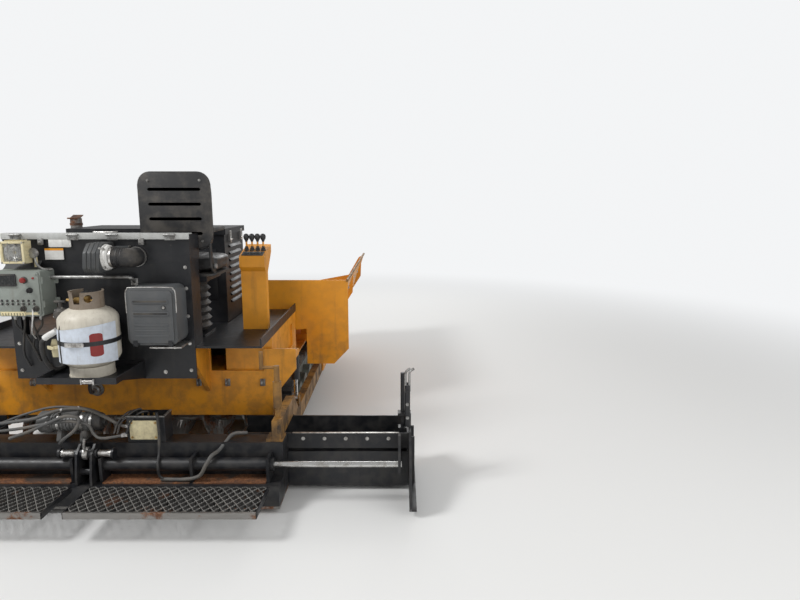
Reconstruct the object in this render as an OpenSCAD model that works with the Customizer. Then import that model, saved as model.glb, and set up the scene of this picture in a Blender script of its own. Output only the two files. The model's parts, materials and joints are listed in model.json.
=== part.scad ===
// Compact asphalt paver on tracks, parked with its floating screed down on the mat.
// Millimetres. +Y is the paving direction, +X the right-hand side, +Z up.
// The origin is on the ground, at the middle of the length and on the centre line.

/* [Overall] */
// Length from the push rollers to the edge of the rear walkways
overall_len = 4200; // [4000:20:4600]
// Thickness of the mat that the screed rests on
mat_t = 30; // [10:5:60]
// Gap between pieces of one body that seat on each other
seat_gap = 0.3; // [0.2:0.1:0.6]
// Running clearance of sliding and turning pieces
run_gap = 0.5; // [0.3:0.1:1]

/* [Tracks] */
// Distance between the centre lines of the two tracks
track_gauge = 1550; // [1500:10:1600]
// Width of a track
track_w = 320; // [260:10:340]
// Length of a track over its lugs
track_len = 1900; // [1700:20:1960]
// Height of a track over its lugs
track_h = 460; // [420:10:470]
// Thickness of the track's belt
belt_t = 26; // [18:1:34]
// Height of a lug
lug_h = 28; // [18:1:36]
// Length of a lug at its foot
lug_foot = 58; // [40:1:70]
// Number of lugs round a track
lug_count = 38; // [30:1:42]
// How far the middle of the tracks is ahead of the rear cross panel
track_ahead = 1340; // [1300:10:1380]
// Number of track rollers on each side
roller_count = 5; // [3:1:6]
// Radius of a track roller
roller_r = 75; // [60:1:85]

/* [Frame] */
// How far the rear cross panel stays inside the tracks' outer faces
panel_inset = 35; // [5:5:75]
// Half distance between the inner side plates
rail_half = 560; // [540:5:575]
// Thickness of a side plate
rail_t = 30; // [20:1:34]
// Underside of the side plates
rail_z0 = 200; // [180:5:240]
// Top of the side plates
rail_z1 = 620; // [600:5:640]
// Gap between the screed's extensions and the rear cross panel
panel_gap = 58; // [48:2:80]
// Thickness of the cross panels
panel_t = 14; // [8:1:20]
// Underside of the rear cross panel
panel_z0 = 330; // [320:5:360]
// Thickness of the deck plates
deck_t = 12; // [8:1:16]
// Height of the fender plates over the tracks
fender_z = 500; // [490:2:520]
// How far the push rollers reach past the side plates
front_over = 400; // [360:10:440]

/* [Operator station] */
// Height of the operator's floor
floor_z = 840; // [800:10:880]
// Thickness of the tread plate where the operator stands
tread_t = 6; // [4:1:8]
// Half width of the engine hood and of the rear bulkhead
hood_half = 520; // [480:10:560]
// Wall thickness of the hood
hood_t = 5; // [3:0.5:8]
// Height of the hood's top
hood_top = 1480; // [1440:10:1520]
// Depth of the operator's place, from the rear cross panel to the hood
station_d = 420; // [400:10:440]
// Depth of the hood
hood_d = 470; // [440:10:480]
// Width of the engine block
engine_w = 760; // [700:10:800]
// Height of the engine's top
engine_top = 1180; // [1100:10:1250]
// How far the rear bulkhead stands out behind the rear cross panel
bulk_over = 260; // [220:5:280]
// Thickness of the rear bulkhead
bulk_t = 10; // [6:1:14]
// Depth of the flat console on top of the bulkhead
console_d = 160; // [140:5:180]
// Height of the console's drop front
console_h = 150; // [120:5:180]
// Centre of the seat, sideways
seat_x = 390; // [340:10:420]
// Width of the seat
seat_w = 430; // [380:10:460]
// Depth of the seat's cushion
seat_d = 400; // [360:10:420]
// Height of the top of the cushion
seat_z = 1330; // [1280:10:1360]
// Height of the backrest's top
seat_back_z = 1840; // [1780:10:1880]
// Height of the seat's cushion and its pan
cushion_h = 110; // [90:5:130]
// Gap between the seat and the control stand
stand_gap = 75; // [50:5:90]
// Width of the control stand
stand_w = 160; // [120:10:180]

/* [Tank and boxes] */
// Diameter of the gas tank
tank_d = 305; // [280:5:320]
// Height of the tank's body
tank_h = 350; // [320:5:380]
// Centre of the tank, sideways
tank_x = 10; // [0:5:30]
// Height of the tank's shelf
shelf_z = 735; // [725:5:750]
// Depth of the shelf behind the bulkhead
shelf_d = 350; // [340:5:380]
// Width of the shelf
shelf_w = 420; // [400:10:440]
// Width of the tool box
toolbox_w = 270; // [240:5:290]
// Height of the tool box
toolbox_h = 320; // [280:5:340]
// Depth of the tool box
toolbox_d = 170; // [140:5:190]
// Left side of the tool box
toolbox_x = 215; // [210:5:230]

/* [Hopper] */
// Half width over the hopper wings
hopper_half = 1300; // [1260:10:1320]
// Gap between the hood and the hopper's wings
hopper_gap = 40; // [30:5:60]
// How far the wings reach past the side plates
hopper_over = 180; // [120:10:200]
// Height of the wing hinges
wing_z = 650; // [640:5:670]
// Height of the wings' top edge
wing_top = 1060; // [1020:10:1100]
// Thickness of the wing plates
wing_t = 12; // [8:1:16]
// Diameter of a push roller
push_d = 170; // [140:5:190]
// Length of a push roller
push_len = 560; // [480:10:600]

/* [Screed] */
// Half width of the main screed
main_half = 1050; // [1040:5:1080]
// Depth of a walkway, behind its hinge
walk_d = 276; // [260:4:300]
// Depth of the main screed
main_d = 260; // [250:5:270]
// Depth of an extension
ext_d = 290; // [270:5:300]
// Height of the screed's box
screed_h = 320; // [300:5:330]
// Thickness of the screed's plates
screed_t = 10; // [6:1:12]
// Length of an extension
ext_len = 1000; // [960:10:1010]
// How far an extension stands out past the main screed at rest
ext_out = 700; // [620:10:740]
// Diameter of an extension cylinder's rod
ext_rod_d = 32; // [26:1:36]
// Thickness of an end gate
gate_t = 14; // [10:1:18]
// Height of an end gate
gate_h = 330; // [300:10:350]
// Height of the walkways' top
walk_z = 175; // [165:5:185]
// Thickness of the walkways' frame
walk_t = 34; // [28:1:40]
// Width of a bar in the walkways' grating
grate_bar = 9; // [6:1:12]

/* [Tow arms and augers] */
// Gap between a track and a tow arm
arm_gap = 55; // [45:1:65]
// Thickness of a tow arm
arm_t = 50; // [40:1:56]
// Height of a tow arm's section
arm_h = 110; // [90:5:120]
// How far the tow points are ahead of the middle of the tracks
tow_ahead = 40; // [0:10:80]
// Height of the tow points
tow_z = 285; // [280:1:300]
// Diameter of the augers
auger_d = 300; // [260:10:310]
// Pitch of the auger's flight
auger_pitch = 260; // [220:10:300]
// Height of the auger shafts
auger_z = 260; // [240:5:280]
// How far the auger shafts are ahead of the rear cross panel
auger_in = 180; // [174:2:190]

/* [Hidden] */
$fn = 48;

yellow = [0.93, 0.55, 0.08];
black = [0.07, 0.07, 0.08];
grey = [0.42, 0.44, 0.46];
steel = [0.62, 0.62, 0.60];
rust = [0.60, 0.33, 0.20];
cream = [0.86, 0.82, 0.70];

front_y = overall_len / 2;
hinge_out = 10;
hinge_room = 14;
main_y0 = walk_d + hinge_out + hinge_room - front_y;
main_y1 = main_y0 + main_d;
ext_y0 = main_y1 + 12;
ext_y1 = ext_y0 + ext_d;
panel_y = ext_y1 + panel_gap;
bulk_y = panel_y - bulk_over;
hood_y0 = panel_y + station_d;
hood_y1 = hood_y0 + hood_d;
hopper_y0 = hood_y1 + hopper_gap;
rail_y1 = front_y - front_over;
hopper_y1 = rail_y1 + hopper_over;
track_y = panel_y + track_ahead;
tow_y = track_y + tow_ahead;
auger_y = panel_y + auger_in;
feed_y0 = auger_y + auger_d / 2 + 12;
track_x = track_gauge / 2;
track_out = track_x + track_w / 2;
frame_half = track_out - panel_inset;
arm_x = track_out + arm_gap + arm_t / 2;
loop_r = track_h / 2 - lug_h;
loop_in_r = loop_r - belt_t;
loop_half = track_len / 2 - track_h / 2;
drive_r = loop_in_r - seat_gap;
screed_z0 = mat_t;
screed_z1 = screed_z0 + screed_h;

// Mirrors its children to the left side where side is -1
module to_side(side) {
    if (side > 0) children();
    else mirror([1, 0, 0]) children();
}

// A box given by its lowest and highest corners
module span(low, high) {
    translate(low) cube(high - low);
}

// A round bar between two values along X, Y or Z
module bar_x(x0, x1, y, z, r) {
    translate([x0, y, z]) rotate([0, 90, 0]) cylinder(h = x1 - x0, r = r);
}
module bar_y(x, y0, y1, z, r) {
    translate([x, y0, z]) rotate([-90, 0, 0]) cylinder(h = y1 - y0, r = r);
}
module bar_z(x, y, z0, z1, r) {
    translate([x, y, z0]) cylinder(h = z1 - z0, r = r);
}

// A profile in the YZ plane, given as [y, z] points, between two values along X
module slab_x(x0, x1) {
    translate([x0, 0, 0]) rotate([90, 0, 90]) linear_extrude(x1 - x0) children();
}
// A profile in the XZ plane, given as [x, z] points, between two values along Y
module slab_y(y0, y1) {
    translate([0, y1, 0]) rotate([90, 0, 0]) linear_extrude(y1 - y0) children();
}

// A track's outline at one radius, with flat runs and round ends
module loop_outline(r) {
    translate([track_y - loop_half, track_h / 2 - r]) square([2 * loop_half, 2 * r]);
    for (end = [-1, 1])
        translate([track_y + end * loop_half, track_h / 2]) circle(r = r, $fn = 72);
}

// Place and heading of a point along the track, s measured from the rear of the lower run
function loop_place(s, r, run, arc) =
    s < run ? [track_y - loop_half + s, track_h / 2 - r, -90] :
    s < run + arc ? arc_place(track_y + loop_half, r, -90 + (s - run) / arc * 180) :
    s < 2 * run + arc ? [track_y + loop_half - (s - run - arc), track_h / 2 + r, 90] :
    arc_place(track_y - loop_half, r, 90 + (s - 2 * run - arc) / arc * 180);
function arc_place(y, r, angle) = [y + r * cos(angle), track_h / 2 + r * sin(angle), angle];

// One fixed loop: the belt with its shoes in the outline
module track() {
    run = 2 * loop_half;
    arc = PI * loop_r;
    pitch = (2 * run + 2 * arc) / lug_count;
    color(black) slab_x(track_x - track_w / 2, track_x + track_w / 2) {
        difference() {
            loop_outline(loop_r);
            loop_outline(loop_in_r);
        }
        for (i = [0 : lug_count - 1]) {
            place = loop_place(i * pitch, loop_r, run, arc);
            translate([place[0], place[1]]) rotate(place[2])
                polygon([[-4, -lug_foot / 2], [lug_h, -lug_foot / 4],
                    [lug_h, lug_foot / 4], [-4, lug_foot / 2]]);
        }
    }
}

// Track frame with its sprocket, idler and rollers, which do not turn by themselves
module undercarriage() {
    beam_half = 55;
    wheel_half = track_w * 0.36;
    hub_r = 60;
    roller_z = lug_h + belt_t + seat_gap + roller_r;
    span_y = 2 * loop_half - 2 * drive_r - 60;
    color(grey) {
        span([track_x - beam_half, track_y - loop_half, track_h / 2 - 70],
            [track_x + beam_half, track_y + loop_half, track_h / 2 + 70]);
        for (end = [-1, 1]) {
            difference() {
                bar_x(track_x - wheel_half, track_x + wheel_half,
                    track_y + end * loop_half, track_h / 2, drive_r);
                for (side = [-1, 1])
                    bar_x(track_x + side * wheel_half - 35, track_x + side * wheel_half + 35,
                        track_y + end * loop_half, track_h / 2, drive_r - 26);
            }
            bar_x(track_x - wheel_half, track_x + wheel_half,
                track_y + end * loop_half, track_h / 2, hub_r);
            for (i = [0 : 5])
                bar_x(track_x - wheel_half + 24, track_x + wheel_half - 24,
                    track_y + end * loop_half + 105 * cos(60 * i),
                    track_h / 2 + 105 * sin(60 * i), 16);
        }
        for (i = [0 : roller_count - 1]) {
            y = track_y - span_y / 2 + i * span_y / (roller_count - 1);
            bar_x(track_x - wheel_half, track_x + wheel_half, y, roller_z, roller_r);
            bar_x(track_x - wheel_half - 12, track_x + wheel_half + 12, y, roller_z, 28);
        }
        for (end = [-1, 1])
            bar_x(rail_half + rail_t + seat_gap, track_x, track_y + end * 380, track_h / 2, 50);
    }
}

// Side plate, with the horn that carries the rear bulkhead
module rail_outline() {
    polygon([[panel_y, panel_z0], [panel_y + 260, rail_z0], [track_y + 940, rail_z0],
        [rail_y1, rail_z1 - 200], [rail_y1, rail_z1], [panel_y, rail_z1]]);
}

// Tie-down hole near the front of each side plate
tie_r = 25;
tie_y = rail_y1 - 130;
tie_z = rail_z1 - 90;

// The yellow tractor frame: side plates, cross panels, tunnel roof, belly and fenders
module main_frame() {
    horn_x = hood_half - 32;
    horn_t = 24;
    under_floor = floor_z - deck_t - seat_gap;
    fender_y1 = track_y + 990;
    color(yellow) {
        for (side = [-1, 1]) to_side(side) {
            slab_x(rail_half, rail_half + rail_t) difference() {
                rail_outline();
                translate([tie_y, tie_z]) circle(r = tie_r);
                translate([auger_y, auger_z]) circle(r = auger_d / 2 + 22);
            }
            slab_x(horn_x, horn_x + horn_t)
                polygon([[panel_y + 5, rail_z1 - 140], [bulk_y + bulk_t + seat_gap, under_floor - 90],
                    [bulk_y + bulk_t + seat_gap, under_floor], [panel_y + 5, under_floor]]);
            span([rail_half + 5, panel_y, fender_z], [track_x + track_w / 2 - 20, fender_y1, fender_z + deck_t]);
            for (y = [panel_y + 30, -280, 420])
                slab_y(y, y + 10)
                    polygon([[rail_half + 20, fender_z - 25], [rail_half + 20, fender_z + 5],
                        [track_x, fender_z + 5]]);
        }
        span([-frame_half, panel_y, panel_z0], [frame_half, panel_y + panel_t, rail_z1]);
        span([-hood_half, panel_y, rail_z1 - 5], [hood_half, panel_y + panel_t, under_floor]);
        span([-rail_half - 5, panel_y + 5, rail_z1 - 20], [rail_half + 5, hopper_y0, rail_z1 - 8]);
        span([-rail_half - 5, feed_y0, rail_z0], [rail_half + 5, track_y + 900, rail_z0 + deck_t]);
        span([-rail_half - 5, rail_y1 - 30, rail_z1 - 200], [rail_half + 5, rail_y1, rail_z1]);
        slab_x(-rail_half - 5, rail_half + 5)
            polygon([[track_y + 890, rail_z0], [track_y + 900, rail_z0], [rail_y1 - 5, rail_z1 - 200],
                [rail_y1 - 30, rail_z1 - 190], [track_y + 890, rail_z0 + deck_t]]);
        for (side = [-1, 1]) to_side(side) {
            wing_lugs();
            fork_y(cyl_x0, cyl_z0, [rail_half + rail_t - 5, cyl_z0 - 16], [cyl_x0, cyl_z0 + 16]);
            frame_outriggers();
        }
    }
}

// Diesel engine, one block under the hood
module engine() {
    color(grey) {
        span([-engine_w / 2, hood_y0 + 70, rail_z1 - 8 + seat_gap],
            [engine_w / 2, hood_y1 - 60, engine_top - 180]);
        span([50 - engine_w / 2, hood_y0 + 110, engine_top - 185],
            [engine_w / 2 - 80, hood_y1 - 110, engine_top]);
    }
}

// Hood: four walls, open above for the lid, with cooling slots in both sides
module hood() {
    slot_h = 22;
    foot = rail_z1 - 8 + seat_gap;
    color(black) difference() {
        span([-hood_half, hood_y0, foot], [hood_half, hood_y1, hood_top - 40]);
        span([-hood_half + hood_t, hood_y0 + hood_t, foot - 1],
            [hood_half - hood_t, hood_y1 - hood_t, hood_top]);
        for (i = [0 : 8])
            span([-hood_half - 1, hood_y0 + 90, 960 + i * 48],
                [hood_half + 1, hood_y1 - 90, 960 + i * 48 + slot_h]);
    }
}

// Hinged top of the hood, a pan with turned-down edges
module hood_lid() {
    z0 = hood_top - 40 + seat_gap;
    out = 12;
    color(black) {
        difference() {
            span([-hood_half - out, hood_y0 - out, z0], [hood_half + out, hood_y1 + out, hood_top]);
            span([-hood_half + hood_t, hood_y0 + hood_t, z0 - 1],
                [hood_half - hood_t, hood_y1 - hood_t, hood_top - hood_t]);
        }
        for (x = [-300, 300])
            bar_x(x - 40, x + 40, hood_y1 + out + 9, hood_top - 20, 11);
    }
}

// Fuel tank on the right and oil tank on the left, under the operator's floor
module side_tank() {
    tank_x0 = rail_half + rail_t + 20;
    tank_z0 = fender_z + deck_t + seat_gap;
    tank_z1 = floor_z - deck_t - seat_gap;
    color(yellow) difference() {
        slab_y(panel_y + panel_t + 10, hopper_y0 - 60)
            polygon([[tank_x0, tank_z0], [frame_half - 20, tank_z0], [frame_half, tank_z0 + 20],
                [frame_half, tank_z1], [tank_x0, tank_z1]]);
        span([frame_half - 14, panel_y + 160, tank_z0 + 90], [frame_half + 1, hopper_y0 - 200, tank_z1 - 60]);
    }
}

// Floor plate round the hood, with a kick edge along both sides
module operator_floor() {
    z0 = floor_z - deck_t;
    gap = 6;
    color(black) {
        difference() {
            span([-frame_half, bulk_y + bulk_t + seat_gap, z0], [frame_half, hopper_y0 - 30, floor_z]);
            span([-hood_half - gap, hood_y0 - gap, z0 - 1], [hood_half + gap, hopper_y0, floor_z + 1]);
        }
        for (side = [-1, 1]) to_side(side)
            span([frame_half - 8, bulk_y + bulk_t + seat_gap, z0], [frame_half, hopper_y0 - 30, floor_z + 45]);
        span([-hood_half + 30, bulk_y + console_d + 12, floor_z - 1], [120, hood_y0 - 20, floor_z + tread_t]);
    }
}

// Rear bulkhead with its side returns and an opening that frames the tool box
module rear_bulkhead() {
    top = hood_top - console_h;
    return_y1 = bulk_y + console_d - 20;
    color(black) {
        difference() {
            span([-hood_half, bulk_y, shelf_z - 85], [hood_half, bulk_y + bulk_t, top]);
            for (side = [-1, 1]) to_side(side)
                span([toolbox_x + 18, bulk_y - 1, floor_z + 70],
                    [toolbox_x + toolbox_w - 18, bulk_y + bulk_t + 1, floor_z + 240]);
        }
        for (side = [-1, 1]) to_side(side)
            span([hood_half - 10, bulk_y + 2, floor_z + seat_gap], [hood_half, return_y1, top]);
    }
}

// Flat console on top of the bulkhead, open below
module console() {
    z0 = hood_top - console_h + seat_gap;
    wall = 6;
    color(black) {
        difference() {
            span([-hood_half, bulk_y, z0], [hood_half, bulk_y + console_d, hood_top]);
            span([-hood_half + wall, bulk_y + wall, z0 - 1],
                [hood_half - wall, bulk_y + console_d - wall, hood_top - wall]);
        }
        for (x = [-hood_half, -180, 180, hood_half - 40])
            span([x, bulk_y - 6, hood_top - 30], [x + 40, bulk_y + 60, hood_top + 8]);
    }
}

// Pedestal of the seat
module seat_post() {
    post_y = bulk_y + console_d + 190;
    color(black) {
        span([seat_x - 110, post_y - 110, floor_z + seat_gap], [seat_x + 110, post_y + 110, floor_z + 14]);
        bar_z(seat_x, post_y, floor_z + 10, seat_z - cushion_h - 20, 42);
        span([seat_x - 150, post_y - 140, seat_z - cushion_h - 30],
            [seat_x + 150, post_y + 140, seat_z - cushion_h]);
    }
}

// Seat: cushion and backrest of one moulded shell
module seat() {
    y0 = bulk_y + console_d + 12;
    y1 = y0 + seat_d;
    color(black) {
        slab_x(seat_x - seat_w / 2, seat_x + seat_w / 2)
            polygon([[y0 + 26, seat_z - cushion_h + seat_gap], [y1 - 30, seat_z - cushion_h + seat_gap],
                [y1, seat_z - 70], [y1, seat_z - 20], [y1 - 30, seat_z],
                [y0 + 90, seat_z - 16], [y0 + 62, seat_z + 150], [y0 + 70, seat_z + 300],
                [y0 + 40, seat_back_z - 20], [y0 + 10, seat_back_z],
                [y0, seat_back_z - 40], [y0, seat_z + 60]]);
    }
}

// Control stand on the right of the seat, with levers
module control_stand() {
    half = stand_w / 2;
    x = seat_x + seat_w / 2 + stand_gap + half;
    y = bulk_y + console_d + 330;
    z0 = floor_z + seat_gap;
    z1 = seat_z - 60;
    color(yellow) slab_x(x - half, x + half)
        polygon([[y - 30, z0], [y + 30, z0], [y + 30, z1 - 60], [y + 150, z1 + 60],
            [y + 150, z1 + 110], [y - 60, z1 + 50], [y - 60, z1 - 20], [y - 30, z1 - 50]]);
    color(black) for (i = [0 : 3]) {
        dx = (i - 1.5) * (half - 26) / 1.5;
        bar_z(x + dx, y + 40, z1 + 60, z1 + 160, 6);
        translate([x + dx, y + 40, z1 + 168]) sphere(r = 14, $fn = 24);
    }
}

// Gas tank for the screed's burners: body, foot ring, collar and valve
module gas_tank() {
    r = tank_d / 2;
    bend = 62;
    foot_h = 32;
    y = bulk_y - shelf_d / 2 + 4;
    z0 = shelf_z + seat_gap;
    collar_r = 88;
    collar_z1 = foot_h + tank_h + 78;
    color(cream) translate([tank_x, y, z0]) {
        difference() {
            cylinder(h = foot_h + 30, r = r - 38);
            translate([0, 0, -1]) cylinder(h = foot_h + 1, r = r - 44);
        }
        translate([0, 0, foot_h]) rotate_extrude($fn = 72) {
            square([r - bend, tank_h]);
            translate([0, bend]) square([r, tank_h - 2 * bend]);
            translate([r - bend, bend]) circle(r = bend);
            translate([r - bend, tank_h - bend]) circle(r = bend);
        }
        difference() {
            translate([0, 0, foot_h + tank_h - 12]) cylinder(h = 90, r = collar_r);
            translate([0, 0, foot_h + tank_h - 20]) cylinder(h = 110, r = collar_r - 5);
            for (turn = [35, 145]) rotate(turn - 90)
                translate([0, 0, collar_z1 - 42]) rotate([90, 0, 0]) cylinder(h = 200, r = 22);
            translate([-45, 0, foot_h + tank_h + 12]) cube([90, 120, 110]);
        }
    }
    color(black) {
        translate([tank_x, y, z0 + foot_h + tank_h - 5]) cylinder(h = 62, r = 17);
        bar_x(tank_x - 60, tank_x + 16, y, z0 + foot_h + tank_h + 38, 11);
        bar_z(tank_x, y, z0 + foot_h + tank_h + 50, z0 + foot_h + tank_h + 68, 24);
    }
}

// Shelf behind the bulkhead: tray, rim, gussets, the strap's clamp and the strap
module tank_shelf() {
    y0 = bulk_y - seat_gap - shelf_d;
    y1 = bulk_y - seat_gap;
    y = bulk_y - shelf_d / 2 + 4;
    strap_z = shelf_z + 185;
    color(black) {
        span([tank_x - shelf_w / 2, y0, shelf_z - 8], [tank_x + shelf_w / 2, y1, shelf_z]);
        difference() {
            span([tank_x - shelf_w / 2, y0, shelf_z - 8], [tank_x + shelf_w / 2, y1, shelf_z + 26]);
            span([tank_x - shelf_w / 2 + 8, y0 + 8, shelf_z - 9], [tank_x + shelf_w / 2 - 8, y1 - 8, shelf_z + 27]);
        }
        for (x = [tank_x - shelf_w / 2, tank_x + shelf_w / 2 - 10])
            slab_x(x, x + 10) polygon([[y0 + 60, shelf_z - 4], [y1, shelf_z - 84], [y1, shelf_z - 4]]);
        difference() {
            bar_z(tank_x, y, strap_z, strap_z + 24, tank_d / 2 + 5);
            bar_z(tank_x, y, strap_z - 1, strap_z + 25, tank_d / 2 + seat_gap);
        }
        span([tank_x - 20, y + tank_d / 2 + 2, strap_z], [tank_x + 20, y1, strap_z + 24]);
        span([tank_x - tank_d / 2 - 26, y - 14, strap_z - 6], [tank_x - tank_d / 2 - 2, y + 14, strap_z + 30]);
    }
}

// Tool box on the right of the bulkhead: shell, lid line and latches
module tool_box() {
    y1 = bulk_y - seat_gap;
    y0 = y1 - toolbox_d;
    z0 = floor_z + 50;
    color(grey) {
        slab_y(y0 + 12, y1)
            polygon([[toolbox_x, z0 + 14], [toolbox_x + 14, z0], [toolbox_x + toolbox_w - 14, z0],
                [toolbox_x + toolbox_w, z0 + 14], [toolbox_x + toolbox_w, z0 + toolbox_h - 14],
                [toolbox_x + toolbox_w - 14, z0 + toolbox_h], [toolbox_x + 14, z0 + toolbox_h],
                [toolbox_x, z0 + toolbox_h - 14]]);
        span([toolbox_x + 8, y0, z0 + 8], [toolbox_x + toolbox_w - 8, y0 + 14, z0 + toolbox_h - 30]);
        for (x = [toolbox_x + 50, toolbox_x + toolbox_w - 80])
            span([x, y0 - 8, z0 + toolbox_h - 70], [x + 30, y0 + 2, z0 + toolbox_h - 40]);
    }
}

// Screed control box on the left of the bulkhead
module control_box() {
    box_w = 250;
    x0 = -250 - box_w;
    y1 = bulk_y - seat_gap;
    box_h = 252;
    z0 = floor_z + 206;
    color(steel) {
        span([x0, y1 - 150, z0], [x0 + box_w, y1, z0 + box_h]);
        span([x0 + 10, y1 - 158, z0 + 10], [x0 + box_w - 10, y1 - 149, z0 + box_h - 10]);
    }
    color("darkred") bar_y(x0 + box_w - 50, y1 - 176, y1 - 157, z0 + box_h - 50, 15);
    color(black) for (i = [0 : 2], j = [0 : 1])
        bar_y(x0 + 60 + i * 65, y1 - 170, y1 - 157, z0 + 50 + j * 70, 10);
}

// Air cleaner lying on the console's drop front
module air_cleaner() {
    x0 = 10;
    r = 82;
    y = bulk_y - seat_gap - r - 14;
    z = hood_top - console_h + 38;
    color(black) {
        bar_x(x0, x0 + 230, y, z, r);
        bar_x(x0 + 228, x0 + 262, y, z, r - 26);
        for (x = [x0 + 30, x0 + 180])
            span([x, y + 40, z - 60], [x + 26, bulk_y - seat_gap, z + 20]);
    }
    color(steel) translate([x0 + 120, y - r + 12, z + 12]) rotate([60, 0, 0]) cylinder(h = 55, r1 = 54, r2 = 40);
}

// Work lamp on a bracket at the left of the console
module work_lamp() {
    x = -390;
    y = bulk_y - seat_gap;
    z = hood_top - 90;
    color(cream) difference() {
        span([x - 62, y - 130, z - 55], [x + 62, y - 60, z + 65]);
        span([x - 50, y - 131, z - 43], [x + 50, y - 112, z + 53]);
    }
    color(black) {
        span([x - 20, y - 61, z - 18], [x + 20, y, z + 18]);
        bar_z(x + 80, y - 60, z - 80, z + 4, 9);
        bar_x(x + 18, x + 80, y - 60, z, 9);
    }
}

// Exhaust pipe through the left side of the hood's roof line
module exhaust() {
    x = -hood_half - 70;
    y = (hood_y0 + hood_y1) / 2;
    color(grey) difference() {
        union() {
            bar_z(x, y, floor_z + 160, hood_top + 60, 38);
            bar_z(x, y, floor_z + 260, floor_z + 520, 62);
            bar_x(x, -hood_half - seat_gap, y, floor_z + 200, 34);
        }
        bar_z(x, y, hood_top - 60, hood_top + 61, 34);
    }
}

// Fixed rear wall of the hopper, over the tunnel's mouth
module hopper_rear_wall() {
    foot_half = hinge_x - knuckle_r - 6;
    wall_half = hinge_x + 6;
    step_z = wing_z + knuckle_r + 8;
    y0 = hopper_y0 + wing_t + 6;
    color(yellow) {
        slab_y(y0, y0 + 12)
            polygon([[-foot_half, rail_z1 + seat_gap], [foot_half, rail_z1 + seat_gap], [foot_half, step_z],
                [wall_half, step_z], [wall_half, wing_top - 40], [-wall_half, wing_top - 40],
                [-wall_half, step_z], [-foot_half, step_z]]);
        for (x = [-hood_half + 60, hood_half - 84])
            slab_x(x, x + 24) polygon([[y0 + 10, rail_z1 + 40], [y0 + 60, rail_z1 + 40],
                [y0 + 30, wing_top - 80], [y0 + 10, wing_top - 80]]);
    }
}

// Front apron that closes the hopper above the push beam
module hopper_apron() {
    half = hinge_x - knuckle_r - 6;
    color(black) slab_x(-half, half)
        polygon([[rail_y1 - 40, rail_z1 + seat_gap], [rail_y1, rail_z1 + seat_gap],
            [rail_y1 + 60, rail_z1 + 90], [rail_y1 + 48, rail_z1 + 100],
            [rail_y1 - 8, rail_z1 + 14], [rail_y1 - 40, rail_z1 + 14]]);
}

// Slat conveyor on the trough's bed, a fixed loop
module conveyor() {
    bed_z = rail_z0 + deck_t + seat_gap;
    y0 = feed_y0;
    y1 = track_y + 880;
    slats = 13;
    color(steel) {
        span([-rail_half + 6, y0, bed_z], [rail_half - 6, y1, bed_z + 6]);
        for (x = [-rail_half + 30, -60, 36, rail_half - 54])
            span([x, y0, bed_z], [x + 24, y1, bed_z + 26]);
        span([-32, y0, bed_z], [32, y1, bed_z + 46]);
        for (i = [0 : slats - 1]) {
            y = y0 + 30 + i * (y1 - y0 - 80) / (slats - 1);
            span([-rail_half + 20, y, bed_z], [rail_half - 20, y + 22, bed_z + 32]);
        }
    }
}

hinge_x = rail_half + rail_t + 4;
knuckle_r = 18;
pin_r = 9;
lug_w = 44;
hinge_y = [hopper_y0 + 60, (hopper_y0 + rail_y1) / 2, rail_y1 - 60];

// Hinge lugs and pins of one wing, part of the frame
module wing_lugs() {
    for (y = hinge_y) {
        bar_y(hinge_x, y - lug_w / 2, y + lug_w / 2, wing_z, knuckle_r);
        span([hinge_x - knuckle_r, y - lug_w / 2, rail_z1 - 20], [hinge_x, y + lug_w / 2, wing_z]);
        bar_y(hinge_x, y - lug_w / 2 - 60, y + lug_w / 2 + 60, wing_z, pin_r);
    }
}

// Wing cylinder's pivots: on the frame and on the wing
cyl_y = rail_y1 - 410;
cyl_x0 = rail_half + rail_t + 48;
cyl_z0 = rail_z1 - 270;
cyl_x1 = 1030;
cyl_z1 = wing_z + 5;
cyl_len = norm([cyl_x1 - cyl_x0, cyl_z1 - cyl_z0]);
cyl_angle = atan2(cyl_z1 - cyl_z0, cyl_x1 - cyl_x0);
cyl_r = 32;
cyl_bore = 26;
cyl_rod_r = 16;
cyl_stroke = 180;
eye_w = 24;
cheek_t = 10;
drift = 14;

// Two cheeks and a pin along Y that hold an eye, with a foot towards the carrier
module fork_y(x, z, foot_low, foot_high) {
    for (side = [-1, 1]) {
        inner = side * (eye_w / 2 + 2);
        outer = side * (eye_w / 2 + 2 + cheek_t);
        y0 = cyl_y + min(inner, outer);
        y1 = cyl_y + max(inner, outer);
        bar_y(x, y0, y1, z, 26);
        span([foot_low[0], y0, foot_low[1]], [foot_high[0], y1, foot_high[1]]);
    }
    bar_y(x, cyl_y - eye_w / 2 - cheek_t, cyl_y + eye_w / 2 + cheek_t, z, pin_r);
}

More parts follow.
